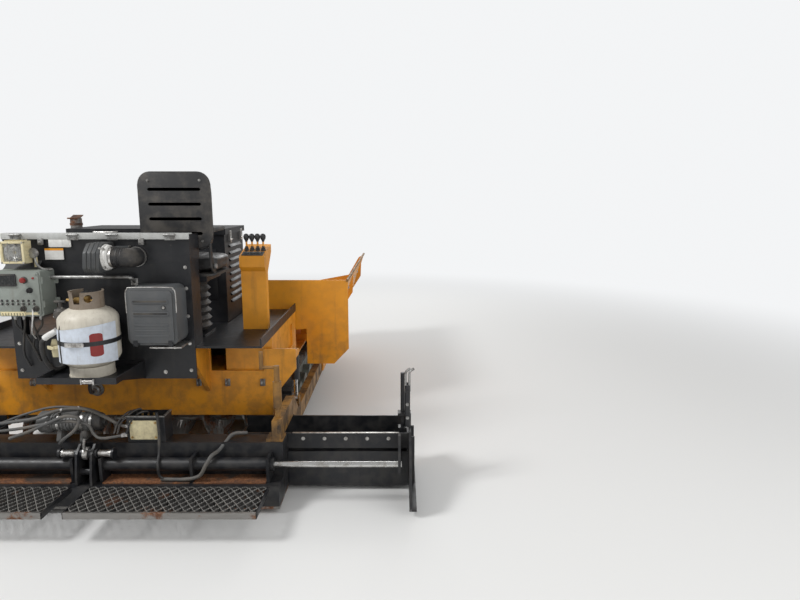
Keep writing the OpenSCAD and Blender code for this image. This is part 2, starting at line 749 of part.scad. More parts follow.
// Hopper wing: hinged floor, flared side, rear plate, front lip and ribs
module wing() {
    x0 = hinge_x + knuckle_r - 6;
    bend_x = hopper_half - 115;
    bend_z = wing_z + 84;
    drop_x = track_x + track_w / 2 + 40;
    knuckle_gap = 1;
    cut = lug_w / 2 + knuckle_gap;
    color(yellow) {
        difference() {
            union() {
                slab_y(hopper_y0, hopper_y1)
                    polygon([[x0, wing_z - 12], [bend_x + 10, bend_z - 12], [hopper_half, wing_top],
                        [hopper_half - wing_t, wing_top], [bend_x, bend_z], [x0, wing_z + 1]]);
                for (y = hinge_y, end = [-1, 1])
                    bar_y(hinge_x, y + end * (cut + 25) - 25, y + end * (cut + 25) + 25, wing_z, knuckle_r);
            }
            for (y = hinge_y) {
                bar_y(hinge_x, y - cut - 62, y + cut + 62, wing_z, pin_r + run_gap);
                bar_y(hinge_x, y - cut, y + cut, wing_z, knuckle_r + 6);
            }
        }
        slab_y(hopper_y0, hopper_y0 + wing_t)
            polygon([[hinge_x + 30, wing_z], [drop_x, wing_z + 30], [drop_x, wing_z - 250],
                [bend_x, wing_z - 250], [hopper_half, wing_z - 130], [hopper_half, wing_top],
                [hinge_x + 60, wing_top], [hinge_x + 30, wing_top - 60]]);
        slab_y(hopper_y1 - wing_t, hopper_y1)
            polygon([[x0 + 10, wing_z - 8], [bend_x + 6, bend_z - 8], [hopper_half - 4, wing_top - 10],
                [hopper_half - 60, wing_top - 40], [bend_x - 60, bend_z + 90], [x0 + 10, wing_z + 80]]);
        for (y = [hopper_y0 + 700, hopper_y1 - 330])
            slab_y(y, y + 14)
                polygon([[drop_x, wing_z + 40], [bend_x - 20, bend_z - 60], [hopper_half - 20, bend_z + 120],
                    [hopper_half - 12, wing_top - 40], [bend_x + 4, bend_z - 8]]);
        fork_y(cyl_x1, cyl_z1, [cyl_x1 - 20, cyl_z1], [cyl_x1 + 20, wing_z + 60]);
    }
}

// Cylinder barrel along +X from its eye at the origin, with a bored gland
module barrel(length, r, bore, rod_r, eye_r) {
    difference() {
        union() {
            bar_x(eye_r + 7, length, 0, 0, r);
            rotate([90, 0, 0]) translate([0, 0, -eye_w / 2]) cylinder(h = eye_w, r = eye_r);
            span([0, -eye_w / 2, -16], [eye_r + 9, eye_w / 2, 16]);
        }
        bar_x(eye_r + 14, length - 22, 0, 0, bore);
        bar_x(eye_r + 14, length + 1, 0, 0, rod_r + run_gap);
        rotate([90, 0, 0]) translate([0, 0, -eye_w]) cylinder(h = 2 * eye_w, r = pin_r + run_gap);
    }
}

// Cylinder rod with its piston, its open eye at length from the barrel's eye
module rod(start, length, rod_r, piston_r, eye_r, eye_bore) {
    difference() {
        union() {
            bar_x(start, length - eye_bore - 6, 0, 0, rod_r);
            bar_x(start, start + 18, 0, 0, piston_r);
            translate([length, 0, 0]) rotate([90, 0, 0])
                translate([0, 0, -eye_w / 2]) cylinder(h = eye_w, r = eye_r);
        }
        translate([length, 0, 0]) rotate([90, 0, 0])
            translate([0, 0, -eye_w]) cylinder(h = 2 * eye_w, r = eye_bore);
    }
}

module wing_barrel() {
    color(black) translate([cyl_x0, cyl_y, cyl_z0]) rotate([0, -cyl_angle, 0])
        barrel(330, cyl_r, cyl_bore, cyl_rod_r, 24);
}
module wing_rod() {
    color(steel) translate([cyl_x0, cyl_y, cyl_z0]) rotate([0, -cyl_angle, 0])
        rod(48, cyl_len, cyl_rod_r, cyl_bore - run_gap, pin_r + drift + 10, pin_r + drift);
}

// Push beam under the hopper's front, with the ears that carry the rollers
module push_beam() {
    z = rail_z1 - 220;
    r = push_d / 2;
    y = front_y - r;
    y0 = rail_y1 + seat_gap;
    color(yellow) {
        span([-rail_half - rail_t, y0, z - 60], [rail_half + rail_t, y0 + 60, z + 80]);
        for (x = [-push_len - 60, -14, push_len + 32]) difference() {
            slab_x(x, x + 28)
                polygon([[y0 + 50, z - 60], [y + 20, z - 40], [y + 34, z - 10], [y + 34, z + 20],
                    [y + 10, z + 40], [y0 + 50, z + 80]]);
            bar_x(x - 1, x + 29, y, z, 20 + run_gap);
        }
    }
}

// Push roller, turning on its own shaft in the beam's ears
module push_roller() {
    z = rail_z1 - 220;
    y = front_y - push_d / 2;
    x0 = 14 + 6;
    x1 = push_len + 32 - 6;
    color(black) {
        difference() {
            bar_x(x0, x1, y, z, push_d / 2);
            for (x = [x0 - 1, x1 - 19]) bar_x(x, x + 20, y, z, push_d / 2 - 16);
        }
        bar_x(2, push_len + 66, y, z, 20);
    }
}

// Auger: a right-hand or left-hand flight on a shaft
auger_x0 = 34;
shaft_r = 30;
module auger() {
    flight_x0 = auger_x0 + 30;
    flight_x1 = frame_half - 40;
    flight_t = 12;
    turns = (flight_x1 - flight_x0) / auger_pitch;
    wedge = 360 * flight_t / auger_pitch;
    r = auger_d / 2;
    color(steel) {
        bar_x(0 + 12, frame_half + 8, auger_y, auger_z, shaft_r);
        translate([flight_x0, auger_y, auger_z]) rotate([90, 0, 90])
            linear_extrude(flight_x1 - flight_x0, twist = -360 * turns, slices = ceil(turns * 20), $fn = 6)
                polygon([[shaft_r - 6, -2.5], [r, 0], [r * cos(wedge), r * sin(wedge)],
                    [(shaft_r - 6) * cos(wedge), (shaft_r - 6) * sin(wedge) + 2.5]]);
    }
}

// Centre case that drives and carries both augers
module auger_hanger() {
    half = auger_x0 - 4;
    roof = rail_z1 - 20 - seat_gap;
    color(yellow) difference() {
        slab_x(-half, half)
            polygon([[auger_y - 30, auger_z - 75], [auger_y + 30, auger_z - 75], [auger_y + 70, auger_z - 30],
                [auger_y + 70, roof], [auger_y - 70, roof], [auger_y - 70, auger_z - 30]]);
        for (side = [-1, 1]) to_side(side)
            bar_x(8, half + 1, auger_y, auger_z, shaft_r + run_gap);
    }
}

// Lift cylinder's pivots: on the frame's outrigger and on the tow arm
lift_y = auger_y - 10;
lift_z1 = rail_z1 + 80;
lift_z0 = tow_z + arm_h / 2 + 42;
lift_len = lift_z1 - lift_z0;
lift_r = 27;

// Two cheeks and a pin along X, with a foot given by two [y, z] corners
module fork_x(x, y, z, low, high) {
    for (side = [-1, 1]) {
        inner = side * (eye_w / 2 + 2);
        outer = side * (eye_w / 2 + 2 + cheek_t);
        x0 = x + min(inner, outer);
        x1 = x + max(inner, outer);
        bar_x(x0, x1, y, z, 22);
        span([x0, low[0], low[1]], [x1, high[0], high[1]]);
    }
    bar_x(x - eye_w / 2 - cheek_t, x + eye_w / 2 + cheek_t, y, z, pin_r);
}

module lift_barrel() {
    color(black) translate([arm_x, lift_y, lift_z1]) rotate([0, 0, 90]) rotate([0, 90, 0])
        barrel(185, lift_r, 21, 13, 22);
}
module lift_rod() {
    color(steel) translate([arm_x, lift_y, lift_z1]) rotate([0, 0, 90]) rotate([0, 90, 0])
        rod(127, lift_len, 13, 21 - run_gap, 22, pin_r + 4);
}

// Tow arm: from the tow point along the track and over the extension to the screed
module tow_arm() {
    z0 = tow_z - arm_h / 2;
    z1 = tow_z + arm_h / 2;
    top = screed_z1 + seat_gap;
    foot_y0 = main_y1 - 112;
    crank_y = main_y1 - 50;
    color(yellow) {
        difference() {
            union() {
                slab_x(arm_x - arm_t / 2, arm_x + arm_t / 2)
                    polygon([[tow_y, z0], [tow_y, z1], [ext_y1 + 170, z1], [ext_y1 + 20, top + 120],
                        [foot_y0, top + 120], [foot_y0, top + 12], [ext_y1 - 10, top + 12],
                        [ext_y1 + 130, z0]]);
                bar_x(arm_x - arm_t / 2, arm_x + arm_t / 2, tow_y, tow_z, arm_h / 2);
            }
            bar_x(arm_x - arm_t / 2 - 1, arm_x + arm_t / 2 + 1, tow_y, tow_z, 20 + run_gap);
        }
        span([arm_x - 60, foot_y0, top], [main_half - 2, main_y1 - 4, top + 14]);
        fork_x(arm_x, lift_y, lift_z0, [lift_y - 22, z1 - 10], [lift_y + 22, lift_z0]);
    }
    color(black) {
        bar_z(arm_x, crank_y, top + 110, top + 420, 16);
        bar_z(arm_x, crank_y, top + 180, top + 330, 24);
        bar_x(arm_x - 90, arm_x + 10, crank_y, top + 410, 9);
        bar_z(arm_x - 84, crank_y, top + 400, top + 500, 11);
    }
}

// Tow point pin and the outrigger of the lift cylinder, on the frame
module frame_outriggers() {
    pin_x1 = arm_x + arm_t / 2 + 14;
    ear_y = panel_y + panel_t;
    slab_y(panel_y, ear_y)
        polygon([[frame_half - 50, fender_z - 60], [frame_half, fender_z - 60], [arm_x + 36, lift_z1 - 70],
            [arm_x + 36, lift_z1 + 60], [frame_half - 50, lift_z1 + 60]]);
    fork_x(arm_x, lift_y, lift_z1, [ear_y - 4, lift_z1 - 20], [lift_y, lift_z1 + 22]);
    slab_x(frame_half - 14, frame_half) difference() {
        polygon([[panel_y + 5, panel_z0 + 10], [panel_y + 5, fender_z], [auger_y + 40, fender_z],
            [auger_y + 60, auger_z], [auger_y + 30, auger_z - 60], [auger_y - 30, auger_z - 60]]);
        translate([auger_y, auger_z]) circle(r = shaft_r + run_gap);
    }
    slab_y(tow_y - 120, tow_y - 100)
        polygon([[track_x + 60, fender_z + 2], [track_x + track_w / 2 - 25, fender_z + 2],
            [pin_x1, fender_z + 2], [pin_x1, fender_z + 60], [track_x + 60, fender_z + 60]]);
    slab_y(tow_y + 100, tow_y + 120)
        polygon([[track_x + 60, fender_z + 2], [pin_x1, fender_z + 2], [pin_x1, fender_z + 60],
            [track_x + 60, fender_z + 60]]);
    span([arm_x + arm_t / 2 + 2, tow_y - 120, tow_z - 40], [pin_x1, tow_y + 120, fender_z + 60]);
    bar_x(arm_x - arm_t / 2, pin_x1, tow_y, tow_z, 20);
}

// Main screed: a stepped box with end plates and the rail that the extensions slide on
step_y = main_y0 + 140;
slide_z = screed_z0 + 220;
module screed_frame() {
    x = main_half;
    t = screed_t;
    low_top = walk_z - 16;
    z0 = screed_z0 + 14 + seat_gap;
    color(black) {
        difference() {
            union() {
                span([-x, step_y, z0], [x, main_y1, screed_z1]);
                span([-x, main_y0, z0], [x, step_y + 5, low_top]);
            }
            span([-x + t, step_y + t, z0 - 1], [x - t, main_y1 - t, screed_z1 - t]);
            span([-x + t, main_y0 + t, z0 - 1], [x - t, step_y + t + 1, low_top - t]);
        }
        span([-x, main_y1 - 2, slide_z - 10], [x, main_y1 + 26, slide_z + 10]);
        span([-x, main_y1 + 26, slide_z - 25], [x, main_y1 + 40, slide_z + 25]);
        for (side = [-1, 1]) to_side(side) {
            difference() {
                union() {
                    bar_x(64, main_half - 40, rod_back_y, ext_rod_z, barrel_r);
                    for (x0 = bracket_x)
                        span([x0, rod_back_y - 50, low_top - 2], [x0 + 16, step_y + 4, ext_rod_z + 52]);
                }
                bar_x(90, main_half - 66, rod_back_y, ext_rod_z, barrel_r - 6);
                bar_x(90, main_half - 39, rod_back_y, ext_rod_z, ext_rod_d / 2 + run_gap);
            }
            for (x0 = walk_knuckle_x) {
                for (dx = [-17, 51]) {
                    bar_x(x0 + dx, x0 + dx + 16, walk_hinge_y, walk_hinge_z, 9);
                    span([x0 + dx, walk_hinge_y, walk_hinge_z - 9], [x0 + dx + 16, main_y0 + 4, walk_hinge_z + 9]);
                }
                bar_x(x0 - 17, x0 + 67, walk_hinge_y, walk_hinge_z, 4);
            }
        }
    }
}

// Extension cylinders lie behind the screed's box
rod_back_y = main_y0 + 92;
ext_rod_z = 245;
barrel_r = 36;
bracket_x = [70, 560, main_half - 76];

// Heated plate under the main screed, with an upturned nose
module screed_plate() {
    color(steel) slab_x(-main_half, main_half)
        polygon([[main_y0, screed_z0], [main_y1 - 20, screed_z0], [main_y1, screed_z0 + 12],
            [main_y1, screed_z0 + 14], [main_y0, screed_z0 + 14]]);
}

// Rusty cover plates on the low rear part of the screed
module screed_deck() {
    z0 = walk_z - 16 + seat_gap;
    plates = [[bracket_x[0] + 18, bracket_x[1] - 2], [bracket_x[1] + 18, bracket_x[2] - 2]];
    color(rust) for (side = [-1, 1], plate = plates) to_side(side)
        span([plate[0], main_y0 + 30, z0], [plate[1], step_y - 2, z0 + 6]);
}

// Crown adjuster on the centre line: two uprights, turnbuckle and locking handles
module crown_jack() {
    z0 = walk_z - 16 + seat_gap;
    y = main_y0 + 60;
    color(black) {
        for (x = [-46, 34]) slab_x(x, x + 12)
            polygon([[main_y0 + 6, z0], [step_y - 2, z0], [step_y - 2, z0 + 190],
                [y + 20, z0 + 210], [y - 30, z0 + 170], [main_y0 + 6, z0 + 40]]);
        bar_x(-150, 150, y + 10, z0 + 160, 15);
        bar_x(-60, 60, y + 10, z0 + 160, 26);
        bar_x(-40, 40, y, z0 + 60, 20);
        for (x = [-150, 138]) bar_x(x, x + 12, y + 10, z0 + 160, 30);
    }
}

// Blower of the screed's burners, lying on the screed's box
module blower() {
    r = 62;
    x0 = -290;
    x1 = 100;
    y = (step_y + main_y1) / 2 - 4;
    z = screed_z1 + 40 + r;
    color(grey) {
        bar_x(x0, x1, y, z, r);
        bar_x(x1 - 2, x1 + 34, y, z, r - 14);
        bar_x(x0 - 24, x0 + 2, y, z, r - 20);
        for (x = [x0 + 50, x1 - 80])
            span([x, y - 46, screed_z1 + seat_gap], [x + 30, y + 46, z]);
    }
}

// Junction box and open tray on the right of the blower
module screed_box() {
    x0 = 190;
    x1 = 400;
    y0 = step_y + 8;
    y1 = main_y1 - 8;
    z0 = screed_z1 + seat_gap;
    color(black) difference() {
        span([x0, y0, z0], [x1, y1, z0 + 150]);
        span([x0 + 6, y0 + 6, z0 + 70], [x1 - 6, y1 - 6, z0 + 151]);
    }
    color(cream) span([x0 + 24, y0 - 5, z0 + 18], [x1 - 40, y0 + 1, z0 + 132]);
}

// Extension: open box with a slot that grips the screed's rail
module extension() {
    x1 = main_half + ext_out;
    x0 = x1 - ext_len;
    t = screed_t;
    z0 = screed_z0;
    lip_y1 = ext_y0 + 12;
    head_y1 = main_y1 + 40;
    color(black) {
        span([x0, ext_y0, z0], [x1, ext_y1 - 14, z0 + t]);
        slab_x(x0, x1) polygon([[ext_y1 - 40, z0], [ext_y1 - 14, z0], [ext_y1, z0 + 30],
            [ext_y1, screed_z1], [ext_y1 - t, screed_z1], [ext_y1 - t, z0 + 40], [ext_y1 - 30, z0 + t]]);
        span([x0, ext_y0, z0], [x1, lip_y1, slide_z - 10 - run_gap]);
        span([x0, ext_y0, slide_z + 10 + run_gap], [x1, lip_y1, screed_z1]);
        for (side = [-1, 1])
            span([x0, ext_y0 + 2, slide_z + side * (25 + run_gap) + (side < 0 ? -t : 0)],
                [x1, head_y1 + run_gap + t, slide_z + side * (25 + run_gap) + (side < 0 ? 0 : t)]);
        span([x0, head_y1 + run_gap, slide_z - 25 - t], [x1, head_y1 + run_gap + t, slide_z + 25 + t]);
        span([x1 - t, ext_y0, z0], [x1, ext_y1 - 4, screed_z1]);
        span([x0, head_y1 + run_gap + t / 2, z0], [x0 + t, ext_y1 - 4, screed_z1 - 60]);
        difference() {
            slab_x(x1 - 60, x1 - 46)
                polygon([[rod_back_y - 44, ext_rod_z - 36], [main_y0 + 230, ext_rod_z - 60],
                    [ext_y0 + 6, ext_rod_z - 150], [ext_y0 + 6, screed_z1], [main_y0 + 230, screed_z1],
                    [rod_back_y - 44, ext_rod_z + 40]]);
            bar_x(x1 - 61, x1 - 45, rod_back_y, ext_rod_z, ext_rod_d / 2 + seat_gap);
        }
        bar_z(x1 - 34, jack_y, screed_z1 - 30, screed_z1 + 330, 13);
        span([x1 - 60, jack_y - 26, screed_z1 - 60], [x1 - 4, jack_y + 26, screed_z1]);
    }
}
jack_y = ext_y0 + 110;

// Rod of an extension cylinder
module ext_rod() {
    x1 = main_half + ext_out;
    inner = 96 + ext_out - 90;
    color(steel) {
        bar_x(inner, x1 - 40, rod_back_y, ext_rod_z, ext_rod_d / 2);
        bar_x(inner, inner + 18, rod_back_y, ext_rod_z, barrel_r - 6 - run_gap);
    }
}

// End gate with its skid, collar round the jack and two handles
module end_gate() {
    x0 = main_half + ext_out + run_gap;
    x1 = x0 + gate_t;
    z0 = screed_z0;
    y0 = main_y0 - 60;
    y1 = ext_y1 + 90;
    color(black) {
        slab_x(x0, x1)
            polygon([[y0 + 30, z0], [y1 - 60, z0], [y1, z0 + 60], [y1, z0 + 240],
                [jack_y + 120, z0 + gate_h], [jack_y - 120, z0 + gate_h], [y0, z0 + 170], [y0, z0 + 30]]);
        span([x0, y0 + 30, z0], [x1 + 26, y1 - 60, z0 + 12]);
        for (y = [jack_y - 90, jack_y + 80])
            span([x1 - 2, y, z0 + 8], [x1 + 20, y + 10, z0 + gate_h - 40]);
        slab_x(x0, x1) polygon([[jack_y - 40, z0 + gate_h - 20], [jack_y + 40, z0 + gate_h - 20],
            [jack_y + 30, screed_z1 + 90], [jack_y - 30, screed_z1 + 90]]);
        difference() {
            span([x0 - 64, jack_y - 30, screed_z1 + 74], [x1, jack_y + 30, screed_z1 + 90]);
            bar_z(x0 - 34 - run_gap, jack_y, screed_z1 + 70, screed_z1 + 95, 13 + run_gap);
        }
    }
}

// Fold-up walkway: channel frame with a grating of crossed bars
module walkway() {
    x0 = 50;
    x1 = main_half - 50;
    y0 = -overall_len / 2;
    y1 = walk_hinge_y - hinge_room;
    z0 = walk_z - walk_t;
    bars_x = 26;
    bars_y = 5;
    color(steel) {
        difference() {
            span([x0, y0, z0], [x1, y1, walk_z]);
            span([x0 + 6, y0 + 6, z0 - 1], [x1 - 6, y1 - 6, walk_z + 1]);
        }
        for (i = [1 : bars_x]) {
            x = x0 + i * (x1 - x0) / (bars_x + 1);
            span([x - grate_bar / 2, y0 + 3, walk_z - 16], [x + grate_bar / 2, y1 - 3, walk_z - 2]);
        }
        for (i = [1 : bars_y]) {
            y = y0 + i * (y1 - y0) / (bars_y + 1);
            span([x0 + 3, y - grate_bar / 2, walk_z - 14], [x1 - 3, y + grate_bar / 2, walk_z - 4]);
        }
        for (x = walk_knuckle_x)
            difference() {
                union() {
                    bar_x(x, x + 50, walk_hinge_y, walk_hinge_z, 9);
                    span([x, y1 - 4, z0], [x + 50, walk_hinge_y, z0 + 9]);
                }
                bar_x(x - 1, x + 51, walk_hinge_y, walk_hinge_z, 4 + run_gap);
            }
    }
}
walk_hinge_y = main_y0 - hinge_out;
walk_hinge_z = walk_z - walk_t + 9;
walk_knuckle_x = [110, main_half - 160];

main_frame();
union() { side_tank(); to_side(-1) side_tank(); }  // side_tanks
track();  // track_right
to_side(-1) track();  // track_left
undercarriage();  // undercarriage_right
to_side(-1) undercarriage();  // undercarriage_left
engine();
hood();
hood_lid();
operator_floor();
rear_bulkhead();
console();
seat_post();
seat();
control_stand();
gas_tank();
tank_shelf();
tool_box();
control_box();
air_cleaner();
work_lamp();
exhaust();
hopper_rear_wall();
hopper_apron();
conveyor();
wing();  // wing_right
to_side(-1) wing();  // wing_left
wing_barrel();  // wing_barrel_right
to_side(-1) wing_barrel();  // wing_barrel_left
wing_rod();  // wing_rod_right
to_side(-1) wing_rod();  // wing_rod_left
push_beam();
push_roller();  // push_roller_right
to_side(-1) push_roller();  // push_roller_left
auger();  // auger_right
to_side(-1) auger();  // auger_left
auger_hanger();
tow_arm();  // tow_arm_right
to_side(-1) tow_arm();  // tow_arm_left
lift_barrel();  // lift_barrel_right
to_side(-1) lift_barrel();  // lift_barrel_left
lift_rod();  // lift_rod_right
to_side(-1) lift_rod();  // lift_rod_left
screed_frame();
screed_plate();
screed_deck();
crown_jack();
blower();
screed_box();
extension();  // extension_right
to_side(-1) extension();  // extension_left
ext_rod();  // ext_rod_right
to_side(-1) ext_rod();  // ext_rod_left
end_gate();  // end_gate_right
to_side(-1) end_gate();  // end_gate_left
walkway();  // walkway_right
to_side(-1) walkway();  // walkway_left
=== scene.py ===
import bpy
import bmesh
import json
import math
import time
from mathutils import Matrix, Vector


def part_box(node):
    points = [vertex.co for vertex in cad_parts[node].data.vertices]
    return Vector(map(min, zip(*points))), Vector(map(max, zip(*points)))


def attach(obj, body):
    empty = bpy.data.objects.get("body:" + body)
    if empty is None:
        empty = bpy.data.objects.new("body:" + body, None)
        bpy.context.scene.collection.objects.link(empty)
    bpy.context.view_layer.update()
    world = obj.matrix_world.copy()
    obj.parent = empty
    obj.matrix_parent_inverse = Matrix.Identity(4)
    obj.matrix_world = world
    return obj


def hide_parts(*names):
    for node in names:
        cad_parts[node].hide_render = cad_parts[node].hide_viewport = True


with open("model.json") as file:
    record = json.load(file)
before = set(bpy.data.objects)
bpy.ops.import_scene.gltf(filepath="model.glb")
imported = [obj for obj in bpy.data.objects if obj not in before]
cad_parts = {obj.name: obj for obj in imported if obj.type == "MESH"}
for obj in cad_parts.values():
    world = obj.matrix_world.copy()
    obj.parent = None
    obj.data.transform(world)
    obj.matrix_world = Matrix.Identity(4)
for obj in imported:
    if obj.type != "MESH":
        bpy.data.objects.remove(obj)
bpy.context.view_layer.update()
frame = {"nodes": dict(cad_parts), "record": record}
startTime = time.time()
record = frame["record"]
bodyOfNode = {node: body for body, nodes in record["behaviour"]["bodies"].items() for node in nodes}
sides = {"right": 1, "left": -1}


def say(words):
    print("%5.1f s  %s" % (time.time() - startTime, words))


# Camera, lights and floor

cameraView = {
    "place": (1.7, -4.8, 1.7),
    "pitchDown": 9.9,      # degrees under the horizon
    "lens": 27.0,
    "sensor": 36.0,
}

studioLight = {
    "world": 0.46,
    "key": {"place": (-4.4, -4.2, 6.6), "size": 2.2, "power": 430},
    "fill": {"place": (5.2, -5.4, 3.2), "size": 4.5, "power": 130},
    "rim": {"place": (1.5, 6.0, 4.8), "size": 4.0, "power": 170},
    "aim": (0, -0.6, 0.6),
    "floorColour": (0.78, 0.78, 0.77, 1),
    "floorSize": 90.0,
    "backdrop": (0.9, 0.91, 0.92, 1),
    "floorFade": (4.0, 9.0),
}


def makeCamera():
    bpy.ops.object.camera_add(location=cameraView["place"])
    camera = bpy.context.object
    camera.rotation_euler = (math.radians(90 - cameraView["pitchDown"]), 0, 0)
    camera.data.lens = cameraView["lens"]
    camera.data.sensor_width = cameraView["sensor"]
    camera.data.clip_end = 200
    bpy.context.scene.camera = camera


def makeLights():
    for name in ("key", "fill", "rim"):
        lamp = studioLight[name]
        bpy.ops.object.light_add(type="AREA", location=lamp["place"])
        light = bpy.context.object
        light.name = name + "Light"
        light.data.size = lamp["size"]
        light.data.energy = lamp["power"]
        aim = Vector(studioLight["aim"]) - Vector(lamp["place"])
        light.rotation_euler = aim.to_track_quat("-Z", "Y").to_euler()


def feed(tree, value, socket):
    # a number or a colour is set on the socket, and an output is linked to it
    if isinstance(value, (int, float, tuple)):
        socket.default_value = value
    else:
        tree.links.new(value, socket)


def addNode(tree, kind, inputs=None, **settings):
    node = tree.nodes.new("ShaderNode" + kind)
    for name, value in settings.items():
        setattr(node, name, value)
    for name, value in (inputs or {}).items():
        feed(tree, value, node.inputs[name])
    return node


def addMath(tree, kind, *values, clamp=False):
    return addNode(tree, "Math", dict(enumerate(values)), operation=kind, use_clamp=clamp).outputs[0]


def addMix(tree, factor, first, second, blend="MIX"):
    mix = addNode(tree, "Mix", {0: factor, 6: first, 7: second}, data_type="RGBA", blend_type=blend)
    return mix.outputs[2]


def addRange(tree, value, low, high):
    limits = {"Value": value, "From Min": low, "From Max": high}
    return addNode(tree, "MapRange", limits, interpolation_type="SMOOTHSTEP").outputs[0]


def objectPlace(tree):
    return addNode(tree, "TexCoord").outputs["Object"]


def addNoise(tree, scale, detail=5.0, rough=0.55, squeeze=None):
    place = objectPlace(tree)
    if squeeze:
        place = addNode(tree, "Mapping", {"Vector": place, "Scale": squeeze}).outputs[0]
    settings = {"Vector": place, "Scale": scale, "Detail": detail, "Roughness": rough}
    return addNode(tree, "TexNoise", settings).outputs["Fac"]


def cameraRays(tree):
    return addNode(tree, "LightPath").outputs["Is Camera Ray"]


def makeWorld():
    world = bpy.data.worlds.new("studioWorld")
    bpy.context.scene.world = world
    world.use_nodes = True
    tree = world.node_tree
    tree.nodes.clear()
    glow = addNode(tree, "Background", {"Color": (1, 1, 1, 1), "Strength": studioLight["world"]})
    plain = addNode(tree, "Background", {"Color": studioLight["backdrop"], "Strength": 1.0})
    mix = addNode(tree, "MixShader", {0: cameraRays(tree), 1: glow.outputs[0], 2: plain.outputs[0]})
    addNode(tree, "OutputWorld", {"Surface": mix.outputs[0]})


def makeFloor():
    bpy.ops.mesh.primitive_plane_add(size=studioLight["floorSize"], location=(0, 0, 0))
    floor = bpy.context.object
    floor.name = "studioFloor"
    paint = bpy.data.materials.new("floorPale")
    paint.use_nodes = True
    tree = paint.node_tree
    shader = tree.nodes["Principled BSDF"]
    feed(tree, studioLight["floorColour"], shader.inputs["Base Color"])
    feed(tree, 0.9, shader.inputs["Roughness"])
    # far from the paver the floor turns into the plain backdrop, for camera rays only
    reach = addNode(tree, "VectorMath", {0: objectPlace(tree)}, operation="LENGTH").outputs["Value"]
    share = addMath(tree, "MULTIPLY", addRange(tree, reach, *studioLight["floorFade"]), cameraRays(tree))
    glow = addNode(tree, "Emission", {"Color": studioLight["backdrop"]})
    mix = addNode(tree, "MixShader", {0: share, 1: shader.outputs[0], 2: glow.outputs[0]})
    feed(tree, mix.outputs[0], tree.nodes["Material Output"].inputs["Surface"])
    floor.data.materials.append(paint)


bpy.context.scene.view_settings.view_transform = "Standard"
makeCamera()
makeLights()
makeWorld()
makeFloor()
say("camera, lights and floor")


# Shader groups shared by the finishes

def newGroup(name, inputs, outputs):
    group = bpy.data.node_groups.new(name, "ShaderNodeTree")
    kinds = {True: "NodeSocketColor", False: "NodeSocketFloat"}
    for socketName, value in inputs.items():
        kind = kinds[isinstance(value, tuple)]
        group.interface.new_socket(socketName, in_out="INPUT", socket_type=kind).default_value = value
    for socketName in outputs:
        group.interface.new_socket(socketName, in_out="OUTPUT", socket_type=kinds[socketName == "Colour"])
    return group, group.nodes.new("NodeGroupInput").outputs, group.nodes.new("NodeGroupOutput").inputs


def makeWornPaint():
    # paint with colour drift, runs of dirt, dust near the ground and chips
    group, put, leave = newGroup("wornPaint", {
        "Paint": (0.8, 0.4, 0.05, 1), "Bare": (0.2, 0.17, 0.15, 1), "Dirt": (0.12, 0.1, 0.08, 1),
        "Chips": 0.3, "Grime": 0.4, "Scale": 4.0, "Gloss": 0.4,
    }, ("Colour", "Roughness", "Bareness", "Height"))
    drift = addNoise(group, put["Scale"], 4)
    fine = addNoise(group, addMath(group, "MULTIPLY", put["Scale"], 16.0), 7, 0.62)
    middle = addNoise(group, addMath(group, "MULTIPLY", put["Scale"], 3.6), 6, 0.6)
    runs = addNoise(group, put["Scale"], 5, 0.6, (5.0, 5.0, 0.55))
    patch = addRange(group, drift, 0.45, 0.68)
    edge = addMath(group, "MULTIPLY_ADD", put["Chips"], -0.22, 0.78)
    chips = addRange(group, fine, edge, addMath(group, "ADD", edge, 0.03))
    chips = addMath(group, "MULTIPLY", chips, addMath(group, "MULTIPLY_ADD", patch, 0.8, 0.2), clamp=True)
    split = addNode(group, "SeparateXYZ", {0: objectPlace(group)})
    low = addRange(group, split.outputs["Z"], 0.95, 0.05)
    dust = addRange(group, middle, 0.38, 0.66)
    dust = addMath(group, "MULTIPLY", dust, addMath(group, "MULTIPLY_ADD", low, 0.75, 0.25))
    soil = addMath(group, "MULTIPLY", addRange(group, runs, 0.52, 0.74), 0.55)
    soil = addMath(group, "MULTIPLY", addMath(group, "ADD", dust, soil), put["Grime"], clamp=True)
    fade = addMath(group, "MULTIPLY", addRange(group, drift, 0.3, 0.7), 0.22)
    tone = addMix(group, fade, put["Paint"], (0.35, 0.3, 0.24, 1), "MULTIPLY")
    tone = addMix(group, soil, tone, put["Dirt"])
    rough = addMath(group, "MULTIPLY_ADD", middle, 0.18, put["Gloss"])
    rough = addMath(group, "MULTIPLY_ADD", soil, 0.32, rough)
    bumps = addMath(group, "MULTIPLY", fine, 0.25)
    feed(group, addMix(group, chips, tone, put["Bare"]), leave["Colour"])
    feed(group, addMath(group, "MULTIPLY_ADD", chips, 0.15, rough, clamp=True), leave["Roughness"])
    feed(group, chips, leave["Bareness"])
    feed(group, addMath(group, "MULTIPLY_ADD", chips, -0.6, bumps), leave["Height"])
    return group


def makeFineGrain():
    # small bumps and dents for vinyl and rubber
    group, put, leave = newGroup("fineGrain", {"Scale": 300.0, "Depth": 0.3}, ("Height", "Mask"))
    settings = {"Vector": objectPlace(group), "Scale": put["Scale"]}
    pebble = addNode(group, "TexVoronoi", settings, feature="SMOOTH_F1")
    cloud = addNoise(group, addMath(group, "MULTIPLY", put["Scale"], 0.02), 5)
    feed(group, addMath(group, "MULTIPLY", pebble.outputs["Distance"], put["Depth"]), leave["Height"])
    feed(group, addRange(group, cloud, 0.35, 0.65), leave["Mask"])
    return group


